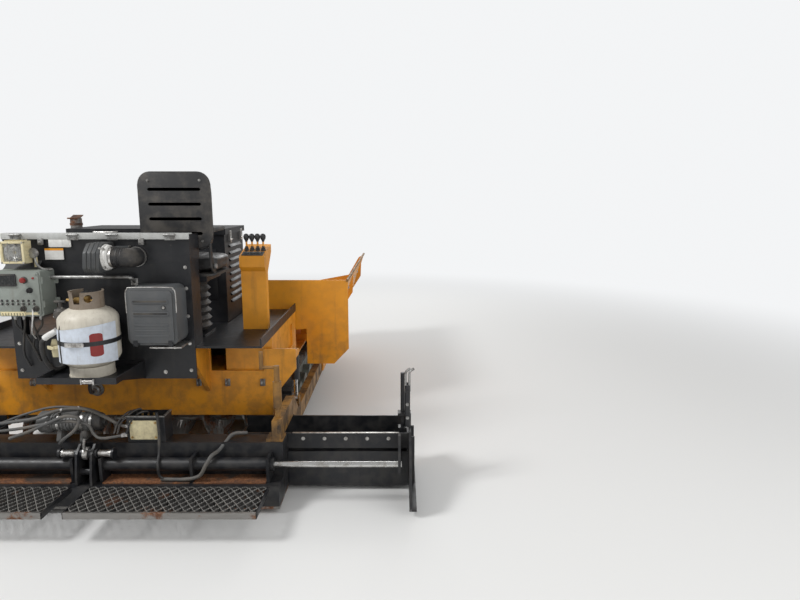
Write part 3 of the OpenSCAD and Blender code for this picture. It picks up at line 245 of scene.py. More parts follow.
def makeRustBloom():
    # patches of rust with darker pits, over any base colour
    group, put, leave = newGroup(
        "rustBloom", {"Base": (0.3, 0.3, 0.3, 1), "Amount": 0.5, "Scale": 9.0}, ("Colour", "Mask", "Height"))
    broad = addNoise(group, put["Scale"], 8, 0.66)
    pits = addNoise(group, addMath(group, "MULTIPLY", put["Scale"], 14.0), 5, 0.7)
    edge = addMath(group, "MULTIPLY_ADD", put["Amount"], -0.5, 0.75)
    mask = addRange(group, broad, edge, addMath(group, "ADD", edge, 0.1))
    rust = addMix(group, addRange(group, pits, 0.38, 0.62), (0.115, 0.04, 0.016, 1), (0.27, 0.115, 0.045, 1))
    rust = addMix(group, addRange(group, broad, 0.55, 0.72), rust, (0.075, 0.035, 0.022, 1))
    feed(group, addMix(group, mask, put["Base"], rust), leave["Colour"])
    feed(group, mask, leave["Mask"])
    feed(group, addMath(group, "MULTIPLY", addMath(group, "ADD", pits, mask), 0.5), leave["Height"])
    return group


wornPaint = makeWornPaint()
fineGrain = makeFineGrain()
rustBloom = makeRustBloom()
finishes = {}


def addGroup(tree, group, **values):
    node = tree.nodes.new("ShaderNodeGroup")
    node.node_tree = group
    for name, value in values.items():
        node.inputs[name].default_value = value
    return node.outputs


def newFinish(name):
    finishes[name] = bpy.data.materials.new(name)
    finishes[name].use_nodes = True
    return finishes[name].node_tree


def setShader(tree, values, height=None, strength=0.4, distance=0.001):
    shader = tree.nodes["Principled BSDF"]
    for name, value in values.items():
        feed(tree, value, shader.inputs[name])
    if height:
        bump = addNode(tree, "Bump", {"Height": height, "Strength": strength, "Distance": distance})
        feed(tree, bump.outputs["Normal"], shader.inputs["Normal"])


# Paint over steel: paint, bare metal, dirt, then chips, grime, scale, gloss and bump
paintRows = {
    "yellowPaint": ((0.8, 0.33, 0.022), (0.15, 0.11, 0.09), (0.19, 0.095, 0.035),
                    0.4, 0.62, 3.2, 0.34, 0.35),
    "blackPaint": ((0.01, 0.011, 0.014), (0.15, 0.135, 0.12), (0.055, 0.05, 0.045),
                   0.38, 0.42, 4.5, 0.3, 0.35),
    "greyPaint": ((0.27, 0.3, 0.275), (0.1, 0.09, 0.08), (0.15, 0.13, 0.105),
                  0.4, 0.55, 5.0, 0.4, 0.35),
    "toolGrey": ((0.08, 0.085, 0.09), (0.2, 0.19, 0.18), (0.14, 0.13, 0.115),
                 0.3, 0.5, 5.0, 0.46, 0.3),
    "castGrey": ((0.15, 0.15, 0.148), (0.34, 0.33, 0.31), (0.05, 0.045, 0.04),
                 0.5, 0.8, 8.0, 0.36, 0.5),
    "paleGreyPaint": ((0.5, 0.51, 0.5), (0.14, 0.12, 0.11), (0.2, 0.18, 0.15),
                      0.42, 0.5, 9.0, 0.38, 0.3),
    "tarredYellow": ((0.3, 0.15, 0.03), (0.16, 0.15, 0.14), (0.02, 0.018, 0.017),
                     0.45, 1.0, 3.0, 0.42, 0.5),
    "darkGreyPaint": ((0.05, 0.054, 0.057), (0.17, 0.155, 0.14), (0.11, 0.1, 0.085),
                      0.36, 0.5, 5.0, 0.42, 0.4),
    "tankPaint": ((0.66, 0.62, 0.53), (0.2, 0.12, 0.08), (0.3, 0.25, 0.19),
                  0.46, 0.55, 9.0, 0.36, 0.25),
    "tankCollar": ((0.25, 0.205, 0.16), (0.16, 0.09, 0.05), (0.16, 0.11, 0.07),
                   0.55, 0.85, 14.0, 0.45, 0.3),
    "creamPaint": ((0.72, 0.64, 0.4), (0.16, 0.14, 0.12), (0.25, 0.2, 0.13),
                   0.35, 0.4, 14.0, 0.4, 0.2),
    "whitePaint": ((0.74, 0.74, 0.72), (0.25, 0.24, 0.23), (0.3, 0.27, 0.23),
                   0.28, 0.35, 14.0, 0.42, 0.15),
    "redPaint": ((0.26, 0.014, 0.012), (0.16, 0.12, 0.11), (0.12, 0.06, 0.05),
                 0.3, 0.3, 20.0, 0.35, 0.1),
    "labelBlue": ((0.64, 0.7, 0.79), (0.35, 0.35, 0.34), (0.28, 0.26, 0.23),
                  0.25, 0.4, 14.0, 0.42, 0.1),
}


def makePaint(name, paint, bare, dirt, chips, grime, scale, gloss, bump):
    tree = newFinish(name)
    coat = addGroup(tree, wornPaint, Paint=paint + (1,), Bare=bare + (1,), Dirt=dirt + (1,),
                    Chips=chips, Grime=grime, Scale=scale, Gloss=gloss)
    metal = addMath(tree, "MULTIPLY", coat["Bareness"], 0.5)
    setShader(tree, {"Base Color": coat["Colour"], "Roughness": coat["Roughness"], "Metallic": metal},
              coat["Height"], bump)


def makeWornSteel():
    # scraped grey steel with rust left in the low places
    tree = newFinish("wornSteel")
    rust = addGroup(tree, rustBloom, Base=(0.32, 0.31, 0.295, 1), Amount=0.5, Scale=7.0)
    brushed = addNoise(tree, 60.0, 4, 0.6, (0.15, 1.0, 1.0))
    streaks = addMath(tree, "MULTIPLY", brushed, 0.5)
    setShader(tree, {
        "Base Color": addMix(tree, streaks, rust["Colour"], (0.18, 0.17, 0.16, 1), "MULTIPLY"),
        "Metallic": addMath(tree, "MULTIPLY_ADD", rust["Mask"], -0.75, 0.8),
        "Roughness": addMath(tree, "MULTIPLY_ADD", rust["Mask"], 0.36, 0.38),
    }, addMath(tree, "ADD", rust["Height"], brushed))


def makeRustySteel():
    # brown all over, with tar-dark stains
    tree = newFinish("rustySteel")
    rust = addGroup(tree, rustBloom, Base=(0.075, 0.048, 0.034, 1), Amount=0.72, Scale=6.0)
    stain = addRange(tree, addNoise(tree, 5.0, 6, 0.6), 0.5, 0.7)
    dark = addMath(tree, "MULTIPLY", stain, 0.8)
    setShader(tree, {
        "Base Color": addMix(tree, dark, rust["Colour"], (0.035, 0.028, 0.024, 1)),
        "Roughness": addMath(tree, "MULTIPLY_ADD", stain, -0.25, 0.85),
    }, rust["Height"], 0.6, 0.002)


def makeCloudy(name, light, dark, scale, detail, rough, edges, gloss, bump=0.0, **constants):
    # two tones of metal or plastic that change with one noise, which also changes the gloss
    tree = newFinish(name)
    cloud = addNoise(tree, scale, detail, rough)
    values = {socket.replace("_", " "): value for socket, value in constants.items()}
    values["Base Color"] = addMix(tree, addRange(tree, cloud, *edges), light + (1,), dark + (1,))
    values["Roughness"] = addMath(tree, "MULTIPLY_ADD", cloud, *gloss)
    setShader(tree, values, cloud if bump else None, bump)


def makeSteel(name, light, dark, gloss, scale):
    makeCloudy(name, light, dark, scale, 7, 0.62, (0.38, 0.68), (0.35, gloss), 0.12, Metallic=0.9)


def makeRubber(name, colour, grit, dustAmount):
    tree = newFinish(name)
    grain = addGroup(tree, fineGrain, Scale=grit, Depth=0.5)
    dust = addRange(tree, addNoise(tree, 7.0, 8, 0.66), 0.42, 0.66)
    dust = addMath(tree, "MULTIPLY", dust, dustAmount)
    setShader(tree, {
        "Base Color": addMix(tree, dust, colour + (1,), (0.19, 0.165, 0.135, 1)),
        "Roughness": addMath(tree, "MULTIPLY_ADD", dust, 0.3, 0.55),
    }, grain["Height"])


def makeVinyl():
    tree = newFinish("seatVinyl")
    grain = addGroup(tree, fineGrain, Scale=420.0, Depth=0.6)
    worn = addMath(tree, "MULTIPLY", grain["Mask"], 0.5)
    setShader(tree, {
        "Base Color": addMix(tree, worn, (0.018, 0.018, 0.019, 1), (0.055, 0.052, 0.048, 1)),
        "Roughness": addMath(tree, "MULTIPLY_ADD", grain["Mask"], 0.2, 0.38),
        "Coat Weight": 0.15, "Coat Roughness": 0.4,
    }, grain["Height"], 0.5)


def makeGlass():
    tree = newFinish("lampGlass")
    haze = addNoise(tree, 30.0, 5, 0.6)
    setShader(tree, {
        "Base Color": (0.93, 0.94, 0.93, 1), "Transmission Weight": 0.9, "IOR": 1.48,
        "Roughness": addMath(tree, "MULTIPLY_ADD", haze, 0.18, 0.02),
    })


def makeGratingSteel():
    # tar-dark bars with bare steel on the tooth tips
    tree = newFinish("gratingSteel")
    split = addNode(tree, "SeparateXYZ", {0: objectPlace(tree)})
    cloud = addNoise(tree, 9.0, 6, 0.65)
    tips = addRange(tree, split.outputs["Z"], 0.17, 0.1742)
    tips = addMath(tree, "MULTIPLY", tips, addRange(tree, cloud, 0.3, 0.55), clamp=True)
    rust = addGroup(tree, rustBloom, Base=(0.03, 0.028, 0.026, 1), Amount=0.34, Scale=7.0)
    setShader(tree, {
        "Base Color": addMix(tree, tips, rust["Colour"], (0.36, 0.35, 0.33, 1)),
        "Metallic": addMath(tree, "MULTIPLY", tips, 0.8),
        "Roughness": addMath(tree, "MULTIPLY_ADD", tips, -0.25, 0.65),
    }, rust["Height"])


for finishName, paintRow in paintRows.items():
    makePaint(finishName, *paintRow)
makeGratingSteel()
makeWornSteel()
makeRustySteel()
makeVinyl()
makeGlass()
makeCloudy("darkGlass", (0.01, 0.012, 0.013), (0.05, 0.05, 0.048),
           90.0, 6, 0.7, (0.45, 0.75), (0.3, 0.02), Coat_Weight=0.6)
makeCloudy("polishedRod", (0.62, 0.62, 0.61), (0.36, 0.34, 0.31),
           22.0, 6, 0.6, (0.45, 0.75), (0.35, 0.08), Metallic=1.0)
makeSteel("brightSteel", (0.62, 0.61, 0.59), (0.3, 0.28, 0.26), 0.2, 30.0)
makeSteel("dullAlloy", (0.42, 0.42, 0.41), (0.2, 0.19, 0.18), 0.34, 24.0)
makeSteel("brass", (0.62, 0.42, 0.16), (0.28, 0.18, 0.08), 0.28, 60.0)
makeRubber("blackPlastic", (0.022, 0.022, 0.023), 700.0, 0.3)
makeRubber("trackRubber", (0.028, 0.028, 0.028), 160.0, 0.75)
makeRubber("hoseRubber", (0.02, 0.02, 0.021), 500.0, 0.35)
makeRubber("hoseGrey", (0.075, 0.075, 0.074), 500.0, 0.55)

# Each record slot with its own finish first, then the other finishes that share it
slotFinishes = {
    "yellow_paint": ("yellowPaint", "tarredYellow"),
    "black_paint": ("blackPaint", "darkGreyPaint", "hoseGrey", "blackPlastic", "darkGlass", "hoseRubber"),
    "track_rubber": ("trackRubber",),
    "seat_vinyl": ("seatVinyl",),
    "grey_paint": ("greyPaint", "whitePaint", "toolGrey", "paleGreyPaint"),
    "tank_paint": ("tankPaint", "tankCollar", "labelBlue"),
    "lamp_trim": ("creamPaint", "redPaint", "lampGlass"),
    "worn_steel": ("wornSteel", "castGrey", "gratingSteel", "dullAlloy"),
    "polished_rod": ("polishedRod", "brightSteel", "brass"),
    "rusty_steel": ("rustySteel",),
}
nodeFinish = {"tow_arm_" + hand: "tarredYellow" for hand in sides}

for row in record["subparts"]:
    nodeMesh = frame["nodes"][row["node"]].data
    nodeMesh.materials.clear()
    nodeMesh.materials.append(finishes[nodeFinish.get(row["node"], slotFinishes[row["material_slot"]][0])])
say("finishes on the metal parts")


# Mesh helpers: each one named add... adds closed forms to a piece that is being built

toRear = (0, -1, 0)
toRight = (1, 0, 0)
toTop = (0, 0, 1)


def pickOnly(piece):
    for thing in bpy.context.selected_objects:
        thing.select_set(False)
    piece.select_set(True)
    bpy.context.view_layer.objects.active = piece


def cadBox(node):
    low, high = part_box(node)
    return Vector(low), Vector(high)


def offset(base, x=0.0, y=0.0, z=0.0):
    return Vector((base[0] + x, base[1] + y, base[2] + z))


def offsets(base, rows):
    return [offset(base, *row) for row in rows]


def turnTo(direction, place):
    return Matrix.Translation(place) @ Vector(direction).to_track_quat("Z", "Y").to_matrix().to_4x4()


def addBlock(form, low, high, bevel=0.0, steps=2):
    low, high = Vector(low), Vector(high)
    corners = bmesh.ops.create_cube(form, size=1.0)["verts"]
    bmesh.ops.scale(form, vec=high - low, verts=corners)
    bmesh.ops.translate(form, vec=(low + high) / 2, verts=corners)
    if bevel:
        edges = list({edge for corner in corners for edge in corner.link_edges})
        bmesh.ops.bevel(form, geom=edges, offset=bevel, segments=steps, profile=0.5, affect="EDGES")


def addRod(form, start, end, radius, sides=20, tip=None, bevel=0.0):
    start, end = Vector(start), Vector(end)
    made = bmesh.ops.create_cone(
        form, cap_ends=True, cap_tris=False, segments=sides, radius1=radius,
        radius2=radius if tip is None else tip, depth=(end - start).length,
        matrix=turnTo(end - start, (start + end) / 2))
    if bevel:
        caps = {face for corner in made["verts"] for face in corner.link_faces if len(face.verts) == sides}
        edges = list({edge for face in caps for edge in face.edges})
        bmesh.ops.bevel(form, geom=edges, offset=bevel, segments=2, profile=0.5, affect="EDGES")


def fullTurn(count, start=0.0):
    return [start + 2 * math.pi * i / count for i in range(count)]


def addLathe(form, profile, place, direction=(0, 0, 1), sides=40, ring=False):
    # profile rows are (radius, height); a radius of 0 closes the end on the axis
    turn = turnTo(direction, place)
    loops = []
    for radius, height in profile:
        if radius <= 0:
            loops.append([form.verts.new(turn @ Vector((0, 0, height)))])
            continue
        circle = [(radius * math.cos(angle), radius * math.sin(angle), height) for angle in fullTurn(sides)]
        loops.append([form.verts.new(turn @ Vector(spot)) for spot in circle])
    pairs = list(zip(loops[:-1], loops[1:]))
    if ring:
        pairs.append((loops[-1], loops[0]))
    for lower, upper in pairs:
        for i in range(sides):
            k = (i + 1) % sides
            if len(lower) == 1:
                form.faces.new((lower[0], upper[k], upper[i]))
            elif len(upper) == 1:
                form.faces.new((lower[i], lower[k], upper[0]))
            else:
                form.faces.new((lower[i], lower[k], upper[k], upper[i]))
    if not ring:
        for loop in (loops[0], loops[-1]):
            if len(loop) > 1:
                form.faces.new(loop)


def addPlate(form, outline, axis, low, high, bevel=0.0):
    # outline is in the plane across the axis, in the order of the other two axes
    order = {"x": (2, 0, 1), "y": (0, 2, 1), "z": (0, 1, 2)}[axis]
    near, far = [[form.verts.new([(a, b, level)[k] for k in order]) for a, b in outline]
                 for level in (low, high)]
    faces = [form.faces.new(near), form.faces.new(list(reversed(far)))]
    for i in range(len(outline)):
        k = (i + 1) % len(outline)
        faces.append(form.faces.new((near[i], near[k], far[k], far[i])))
    if bevel:
        edges = list({edge for face in faces for edge in face.edges})
        bmesh.ops.bevel(form, geom=edges, offset=bevel, segments=2, profile=0.5, affect="EDGES")


def smoothPath(points, steps):
    points = [Vector(point) for point in points]
    ends = [2 * points[0] - points[1]] + points + [2 * points[-1] - points[-2]]
    path = []
    for i in range(1, len(ends) - 2):
        a, b, c, d = ends[i - 1:i + 3]
        for k in range(steps):
            t = k / steps
            path.append(0.5 * (2 * b + (c - a) * t + (2 * a - 5 * b + 4 * c - d) * t * t
                               + (3 * b - a - 3 * c + d) * t ** 3))
    path.append(points[-1])
    return path


def addTube(form, points, radius, sides=10, steps=7, ripple=0.0):
    # a hose, cable or bent rod along a smooth path, closed at both ends
    path = smoothPath(points, steps) if steps > 1 else [Vector(point) for point in points]
    forward = (path[1] - path[0]).normalized()
    across = forward.orthogonal().normalized()
    loops = []
    for i, spot in enumerate(path):
        ahead = path[min(i + 1, len(path) - 1)] - path[max(i - 1, 0)]
        if ahead.length > 1e-9:
            turn = forward.rotation_difference(ahead.normalized())
            across = turn @ across
            forward = ahead.normalized()
        other = forward.cross(across)
        wide = radius * (1 + (ripple if i % 2 else 0))
        circle = [math.cos(angle) * across + math.sin(angle) * other for angle in fullTurn(sides)]
        loops.append([form.verts.new(spot + wide * reach) for reach in circle])
    for lower, upper in zip(loops[:-1], loops[1:]):
        for i in range(sides):
            k = (i + 1) % sides
            form.faces.new((lower[i], lower[k], upper[k], upper[i]))
    form.faces.new(list(reversed(loops[0])))
    form.faces.new(loops[-1])


def addBolt(form, place, direction, size=0.011):
    place, direction = Vector(place), Vector(direction)
    addRod(form, place, place + direction * size * 0.25, size * 1.35, 18)
    addRod(form, place + direction * size * 0.25, place + direction * size * 0.95, size, 6, size * 0.92)


def addBolts(form, places, direction, size):
    for place in places:
        addBolt(form, place, direction, size)


def addRing(form, place, direction, inner, outer, width):
    addLathe(form, [(inner, -width / 2), (outer, -width / 2), (outer, width / 2), (inner, width / 2)],
             place, direction, 36, True)


def roundedRect(left, low, right, high, radius, steps=5):
    points = []
    for x, z, start in ((right - radius, low + radius, -90), (right - radius, high - radius, 0),
                        (left + radius, high - radius, 90), (left + radius, low + radius, 180)):
        for k in range(steps + 1):
            angle = math.radians(start + 90 * k / steps)
            points.append((x + radius * math.cos(angle), z + radius * math.sin(angle)))
    return points


def addPanel(form, low, high, radius, bevel=0.0, steps=5):
    # a block from corner to corner, with rounded corners as seen from behind
    addPlate(form, roundedRect(low[0], low[2], high[0], high[2], radius, steps), "y", low[1], high[1], bevel)


def nodePiece(form, name, finish, node, bevel=0.0, smooth=38):
    bmesh.ops.recalc_face_normals(form, faces=form.faces)
    mesh = bpy.data.meshes.new(name)
    form.to_mesh(mesh)
    form.free()
    piece = bpy.data.objects.new(name, mesh)
    bpy.context.scene.collection.objects.link(piece)
    mesh.materials.append(finishes[finish])
    pickOnly(piece)
    if bevel:
        modifier = piece.modifiers.new("edges", "BEVEL")
        modifier.width = bevel
        modifier.segments = 2
        modifier.limit_method = "ANGLE"
        modifier.angle_limit = math.radians(40)
        bpy.ops.object.modifier_apply(modifier=modifier.name)
    bpy.ops.object.shade_smooth_by_angle(angle=math.radians(smooth))
    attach(piece, bodyOfNode[node])
    return piece


def addCurvedPatch(form, centre, radius, thick, left, right, lowEdge, highEdge, columns, rows):
    # a thin label wrapped on an upright cylinder; angles in degrees from -Y, edges as functions of 0..1
    def loopOf(level, outward):
        loop = []
        for i in range(columns + 1):
            share = i / columns
            angle = math.radians(left + (right - left) * share)
            height = lowEdge(share) + (highEdge(share) - lowEdge(share)) * level
            reach = radius + outward
            spot = offset(centre, reach * math.sin(angle), -reach * math.cos(angle), height)
            loop.append(form.verts.new(spot))
        return loop
    front = [loopOf(k / rows, thick) for k in range(rows + 1)]
    back = [loopOf(k / rows, 0.0) for k in range(rows + 1)]
    for grid in (front, back):
        for k in range(rows):
            for i in range(columns):
                form.faces.new((grid[k][i], grid[k][i + 1], grid[k + 1][i + 1], grid[k + 1][i]))
    rim = [(0, i) for i in range(columns)] + [(k, columns) for k in range(rows)]
    rim += [(rows, i) for i in range(columns, 0, -1)] + [(k, 0) for k in range(rows, 0, -1)]
    for (k, i), (m, n) in zip(rim, rim[1:] + rim[:1]):
        form.faces.new((front[k][i], front[m][n], back[m][n], back[k][i]))


def cutWith(piece, cutter):
    mesh = bpy.data.meshes.new("cutter")
    bmesh.ops.recalc_face_normals(cutter, faces=cutter.faces)
    cutter.to_mesh(mesh)
    cutter.free()
    tool = bpy.data.objects.new("cutter", mesh)
    bpy.context.scene.collection.objects.link(tool)
    pickOnly(piece)
    modifier = piece.modifiers.new("cut", "BOOLEAN")
    modifier.operation = "DIFFERENCE"
    modifier.solver = "EXACT"
    modifier.object = tool
    bpy.ops.object.modifier_apply(modifier=modifier.name)
    bpy.data.objects.remove(tool)


# Gas tank with its ring, collar, valve, wrap, hoses and clamp

gasTank = {
    "dome": 0.078, "foot": 0.036, "footRadius": 0.112, "collarRadius": 0.086, "collarTop": 0.076,
    "wall": 0.004, "holeRadius": 0.021, "wrap": (-86.0, 82.0, 0.082, 0.262, 0.3),
    "strapHeight": 0.185, "hose": 0.0135, "gap": 0.0032, "petals": 6,
    "holeTurns": (-62, 32), "notch": ((-0.03, 0.014), (0.004, 0.014), (0.014, 0.12), (-0.04, 0.12)),
    "seam": ((0, -0.007), (0.0025, -0.004), (0.0025, 0.004), (0, 0.007)),
    "valve": ((0, -0.004), (0.024, -0.004), (0.024, 0.008), (0.017, 0.014), (0.017, 0.034),
              (0.021, 0.036), (0.021, 0.05), (0.01, 0.054), (0.008, 0.07), (0, 0.07)),
    "regulator": ((0, -0.024), (0.03, -0.024), (0.036, -0.018), (0.036, -0.004), (0.041, -0.004),
                  (0.041, 0.004), (0.036, 0.004), (0.034, 0.014), (0.018, 0.024), (0.018, 0.04), (0, 0.04)),
    "hoseRun": ((0, 0, 0), (-0.014, -0.01, -0.028), (-0.06, -0.022, -0.056), (-0.108, -0.016, -0.104),
                (-0.112, 0.0, -0.19), (-0.084, 0.03, -0.262)),
    "buckle": ((-0.05, -0.011), (0.044, -0.011), (0.05, -0.004), (0.05, 0.006), (0.044, 0.012),
               (-0.05, 0.012)),
    "clampPlate": ((-0.016, -0.055), (0.016, -0.055), (0.022, 0.02), (0.01, 0.046), (-0.012, 0.046),
                   (-0.022, 0.014)),
    "clampWing": ((0.006, -0.012), (0.03, -0.004), (0.03, 0.014), (0.006, 0.01)),
}


def makeGasTank():
    low, high = cadBox("gas_tank")
    centre = Vector(((low.x + high.x) / 2, (low.y + high.y) / 2, low.z))
    radius = (high.x - low.x) / 2
    foot, dome, wall, rise = [gasTank[name] for name in ("foot", "dome", "wall", "collarTop")]
    top = high.z - low.z - rise
    turns = [math.radians(9 * k) for k in range(11)]
    profile = [(radius * math.sin(a), foot + dome - dome * math.cos(a)) for a in turns]
    profile += [(radius + out, (foot + top) / 2 + up) for out, up in gasTank["seam"]]
    profile += [(radius * math.cos(a), top - dome + dome * math.sin(a)) for a in turns]
    profile[0] = (0, profile[0][1])
    profile[-1] = (0, profile[-1][1])
    form = bmesh.new()
    addLathe(form, profile, centre, sides=72)
    reach, edge = gasTank["footRadius"], foot + 0.022
    ring = [(reach - wall, 0.0), (reach, 0.0), (reach, edge), (reach - wall, edge)]
    addLathe(form, ring, centre, sides=64, ring=True)
    addRing(form, offset(centre, z=0.004), toTop, reach - wall - 0.001, reach + 0.004, 0.008)
    body = nodePiece(form, "gasTankBody", "tankPaint", "gas_tank")
    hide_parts("gas_tank")

    reach = gasTank["collarRadius"]
    inside, edge = reach - wall, top + rise
    ring = [(inside, top - 0.016), (reach, top - 0.016), (reach, edge - 0.004), (reach + 0.003, edge),
            (inside - 0.003, edge), (inside, edge - 0.004)]
    form = bmesh.new()
    addLathe(form, ring, centre, sides=64, ring=True)
    collar = nodePiece(form, "gasTankCollar", "tankCollar", "gas_tank")
    for turn in gasTank["holeTurns"]:
        across = Vector((math.sin(math.radians(turn)), -math.cos(math.radians(turn)), 0))
        hub = offset(centre, z=top + 0.042)
        cutter = bmesh.new()
        addRod(cutter, hub + across * 0.05, hub + across * 0.14, gasTank["holeRadius"], 32)
        cutWith(collar, cutter)
    crown = offset(centre, z=top)
    cutter = bmesh.new()
    addBlock(cutter, offset(crown, -0.05, 0.02, 0.012), offset(crown, 0.05, 0.16, 0.12))
    cutWith(collar, cutter)
    cutter = bmesh.new()
    notch = [(crown.x + x, crown.z + z) for x, z in gasTank["notch"]]
    addPlate(cutter, notch, "y", centre.y - 0.16, centre.y - 0.03)
    cutWith(collar, cutter)

    left, right, bottom, lowTop, highTop = gasTank["wrap"]
    form = bmesh.new()
    addCurvedPatch(form, centre, radius + gasTank["gap"], 0.0007, left, right,
                   lambda s: bottom + 0.01 * math.sin(math.pi * s),
                   lambda s: lowTop + (highTop - lowTop) * (0.5 - 0.5 * math.cos(math.pi * s)), 48, 10)
    nodePiece(form, "tankWrap", "labelBlue", "gas_tank")
    form = bmesh.new()
    addCurvedPatch(form, centre, radius + gasTank["gap"] + 0.001, 0.0006, 26, 50,
                   lambda s: 0.128 + 0.01 * abs(2 * s - 1) ** 4,
                   lambda s: 0.252 - 0.01 * abs(2 * s - 1) ** 4, 16, 6)
    nodePiece(form, "tankPatch", "redPaint", "gas_tank")

    form = bmesh.new()
    hub = offset(centre, z=top - 0.004)
    addLathe(form, gasTank["valve"], hub, sides=24)
    addRod(form, offset(hub, 0.012, 0, 0.026), offset(hub, 0.046, -0.012, 0.026), 0.0085, 6)
    addRod(form, offset(hub, -0.012, -0.004, 0.028), offset(hub, -0.094, -0.03, 0.034), 0.0075, 14)
    addRod(form, offset(hub, -0.034, -0.011, 0.029), offset(hub, -0.058, -0.019, 0.031), 0.0155, 6)
    nodePiece(form, "tankValveBody", "brass", "gas_tank", bevel=0.0008)
    form = bmesh.new()
    knob = offset(hub, z=0.06)
    outline = []
    for angle in fullTurn(48):
        wide = 0.027 + 0.0035 * math.cos(gasTank["petals"] * angle)
        outline.append((knob.x + wide * math.cos(angle), knob.y + wide * math.sin(angle)))
    addPlate(form, outline, "z", knob.z, knob.z + 0.014, bevel=0.003)
    nodePiece(form, "tankHandwheel", "blackPaint", "gas_tank")


def makeRegulator():
    low = cadBox("gas_tank")[0]
    hub = offset(low, 0.026, 0.118, 0.335)
    form = bmesh.new()
    addLathe(form, gasTank["regulator"], hub, toRear, 32)
    addRod(form, offset(hub, z=0.03), offset(hub, z=0.066), 0.01, 16)
    addRod(form, offset(hub, -0.03, 0, 0.07), offset(hub, 0.03, 0, 0.07), 0.0075, 14, bevel=0.002)
    addRod(form, offset(hub, z=-0.034), offset(hub, z=-0.058), 0.0145, 6)
    nodePiece(form, "gasRegulator", "hoseRubber", "gas_tank", bevel=0.0008)
    form = bmesh.new()
    for angle in fullTurn(6, 0.3):
        addBolt(form, offset(hub, 0.0375 * math.cos(angle), -0.004, 0.0375 * math.sin(angle)), toRear, 0.0038)
    addRing(form, offset(hub, -0.022, -0.012, -0.082), (0.35, 0.2, 1), 0.0138, 0.0175, 0.014)
    nodePiece(form, "regulatorScrews", "brightSteel", "gas_tank")
    start = offset(hub, z=-0.05)
    path = offsets(start, gasTank["hoseRun"])
    path.append(Vector((start.x - 0.05, start.y + 0.075, cadBox("tank_shelf")[0].z + 0.112)))
    form = bmesh.new()
    addTube(form, path, gasTank["hose"], 14, 8)
    nodePiece(form, "gasHose", "hoseRubber", "gas_tank")
    form = bmesh.new()
    tape = [offset(path[1], -0.006, -0.002, -0.006), path[2], offset(path[2], -0.03, 0.002, -0.02)]
    addTube(form, tape, gasTank["hose"] + 0.003, 14, 6)
    nodePiece(form, "gasHoseTape", "whitePaint", "gas_tank")


def makeTankClamp():
    low, high = cadBox("gas_tank")
    strapZ = low.z + gasTank["strapHeight"]
    middle = Vector(((low.x + high.x) / 2, low.y - 0.0055, strapZ + 0.012))
    form = bmesh.new()
    outline = [(middle.x + x, middle.z + z) for x, z in gasTank["buckle"]]
    addPlate(form, outline, "y", middle.y - 0.01, middle.y - 0.003, bevel=0.0015)
    addBolts(form, offsets(middle, ((-0.03, -0.01), (0.028, -0.01))), toRear, 0.006)
    for k in range(4):
        x = -0.016 + k * 0.01
        addBlock(form, offset(middle, x, -0.0125, -0.007), offset(middle, x + 0.004, -0.009, 0.007), 0.0008)
    nodePiece(form, "strapBuckle", "brightSteel", "tank_shelf")
    hub = Vector((low.x - 0.022, (low.y + high.y) / 2 - 0.03, strapZ - 0.03))
    form = bmesh.new()
    outline = [(hub.x + x, hub.z + z) for x, z in gasTank["clampPlate"]]
    addPlate(form, outline, "y", hub.y - 0.012, hub.y, bevel=0.003)
    for side in (-1, 1):
        outline = [(hub.x + side * x, hub.z + z) for x, z in gasTank["clampWing"]]
        addPlate(form, outline, "y", hub.y - 0.03, hub.y - 0.022, bevel=0.002)
    addRod(form, offset(hub, y=-0.036), hub, 0.009, 16, bevel=0.001)
    nodePiece(form, "tankWingClamp", "creamPaint", "tank_shelf")


makeGasTank()
makeRegulator()
makeTankClamp()
say("gas tank")


# Moulded tool box: case, door, two grips with painted shade in their slots, trim, lock and the ledge below

toolCase = {"corner": 0.034, "door": 0.02, "grips": (0.074, 0.142), "gripWidth": 0.1, "trim": 0.0032,
            "ledge": 0.016}


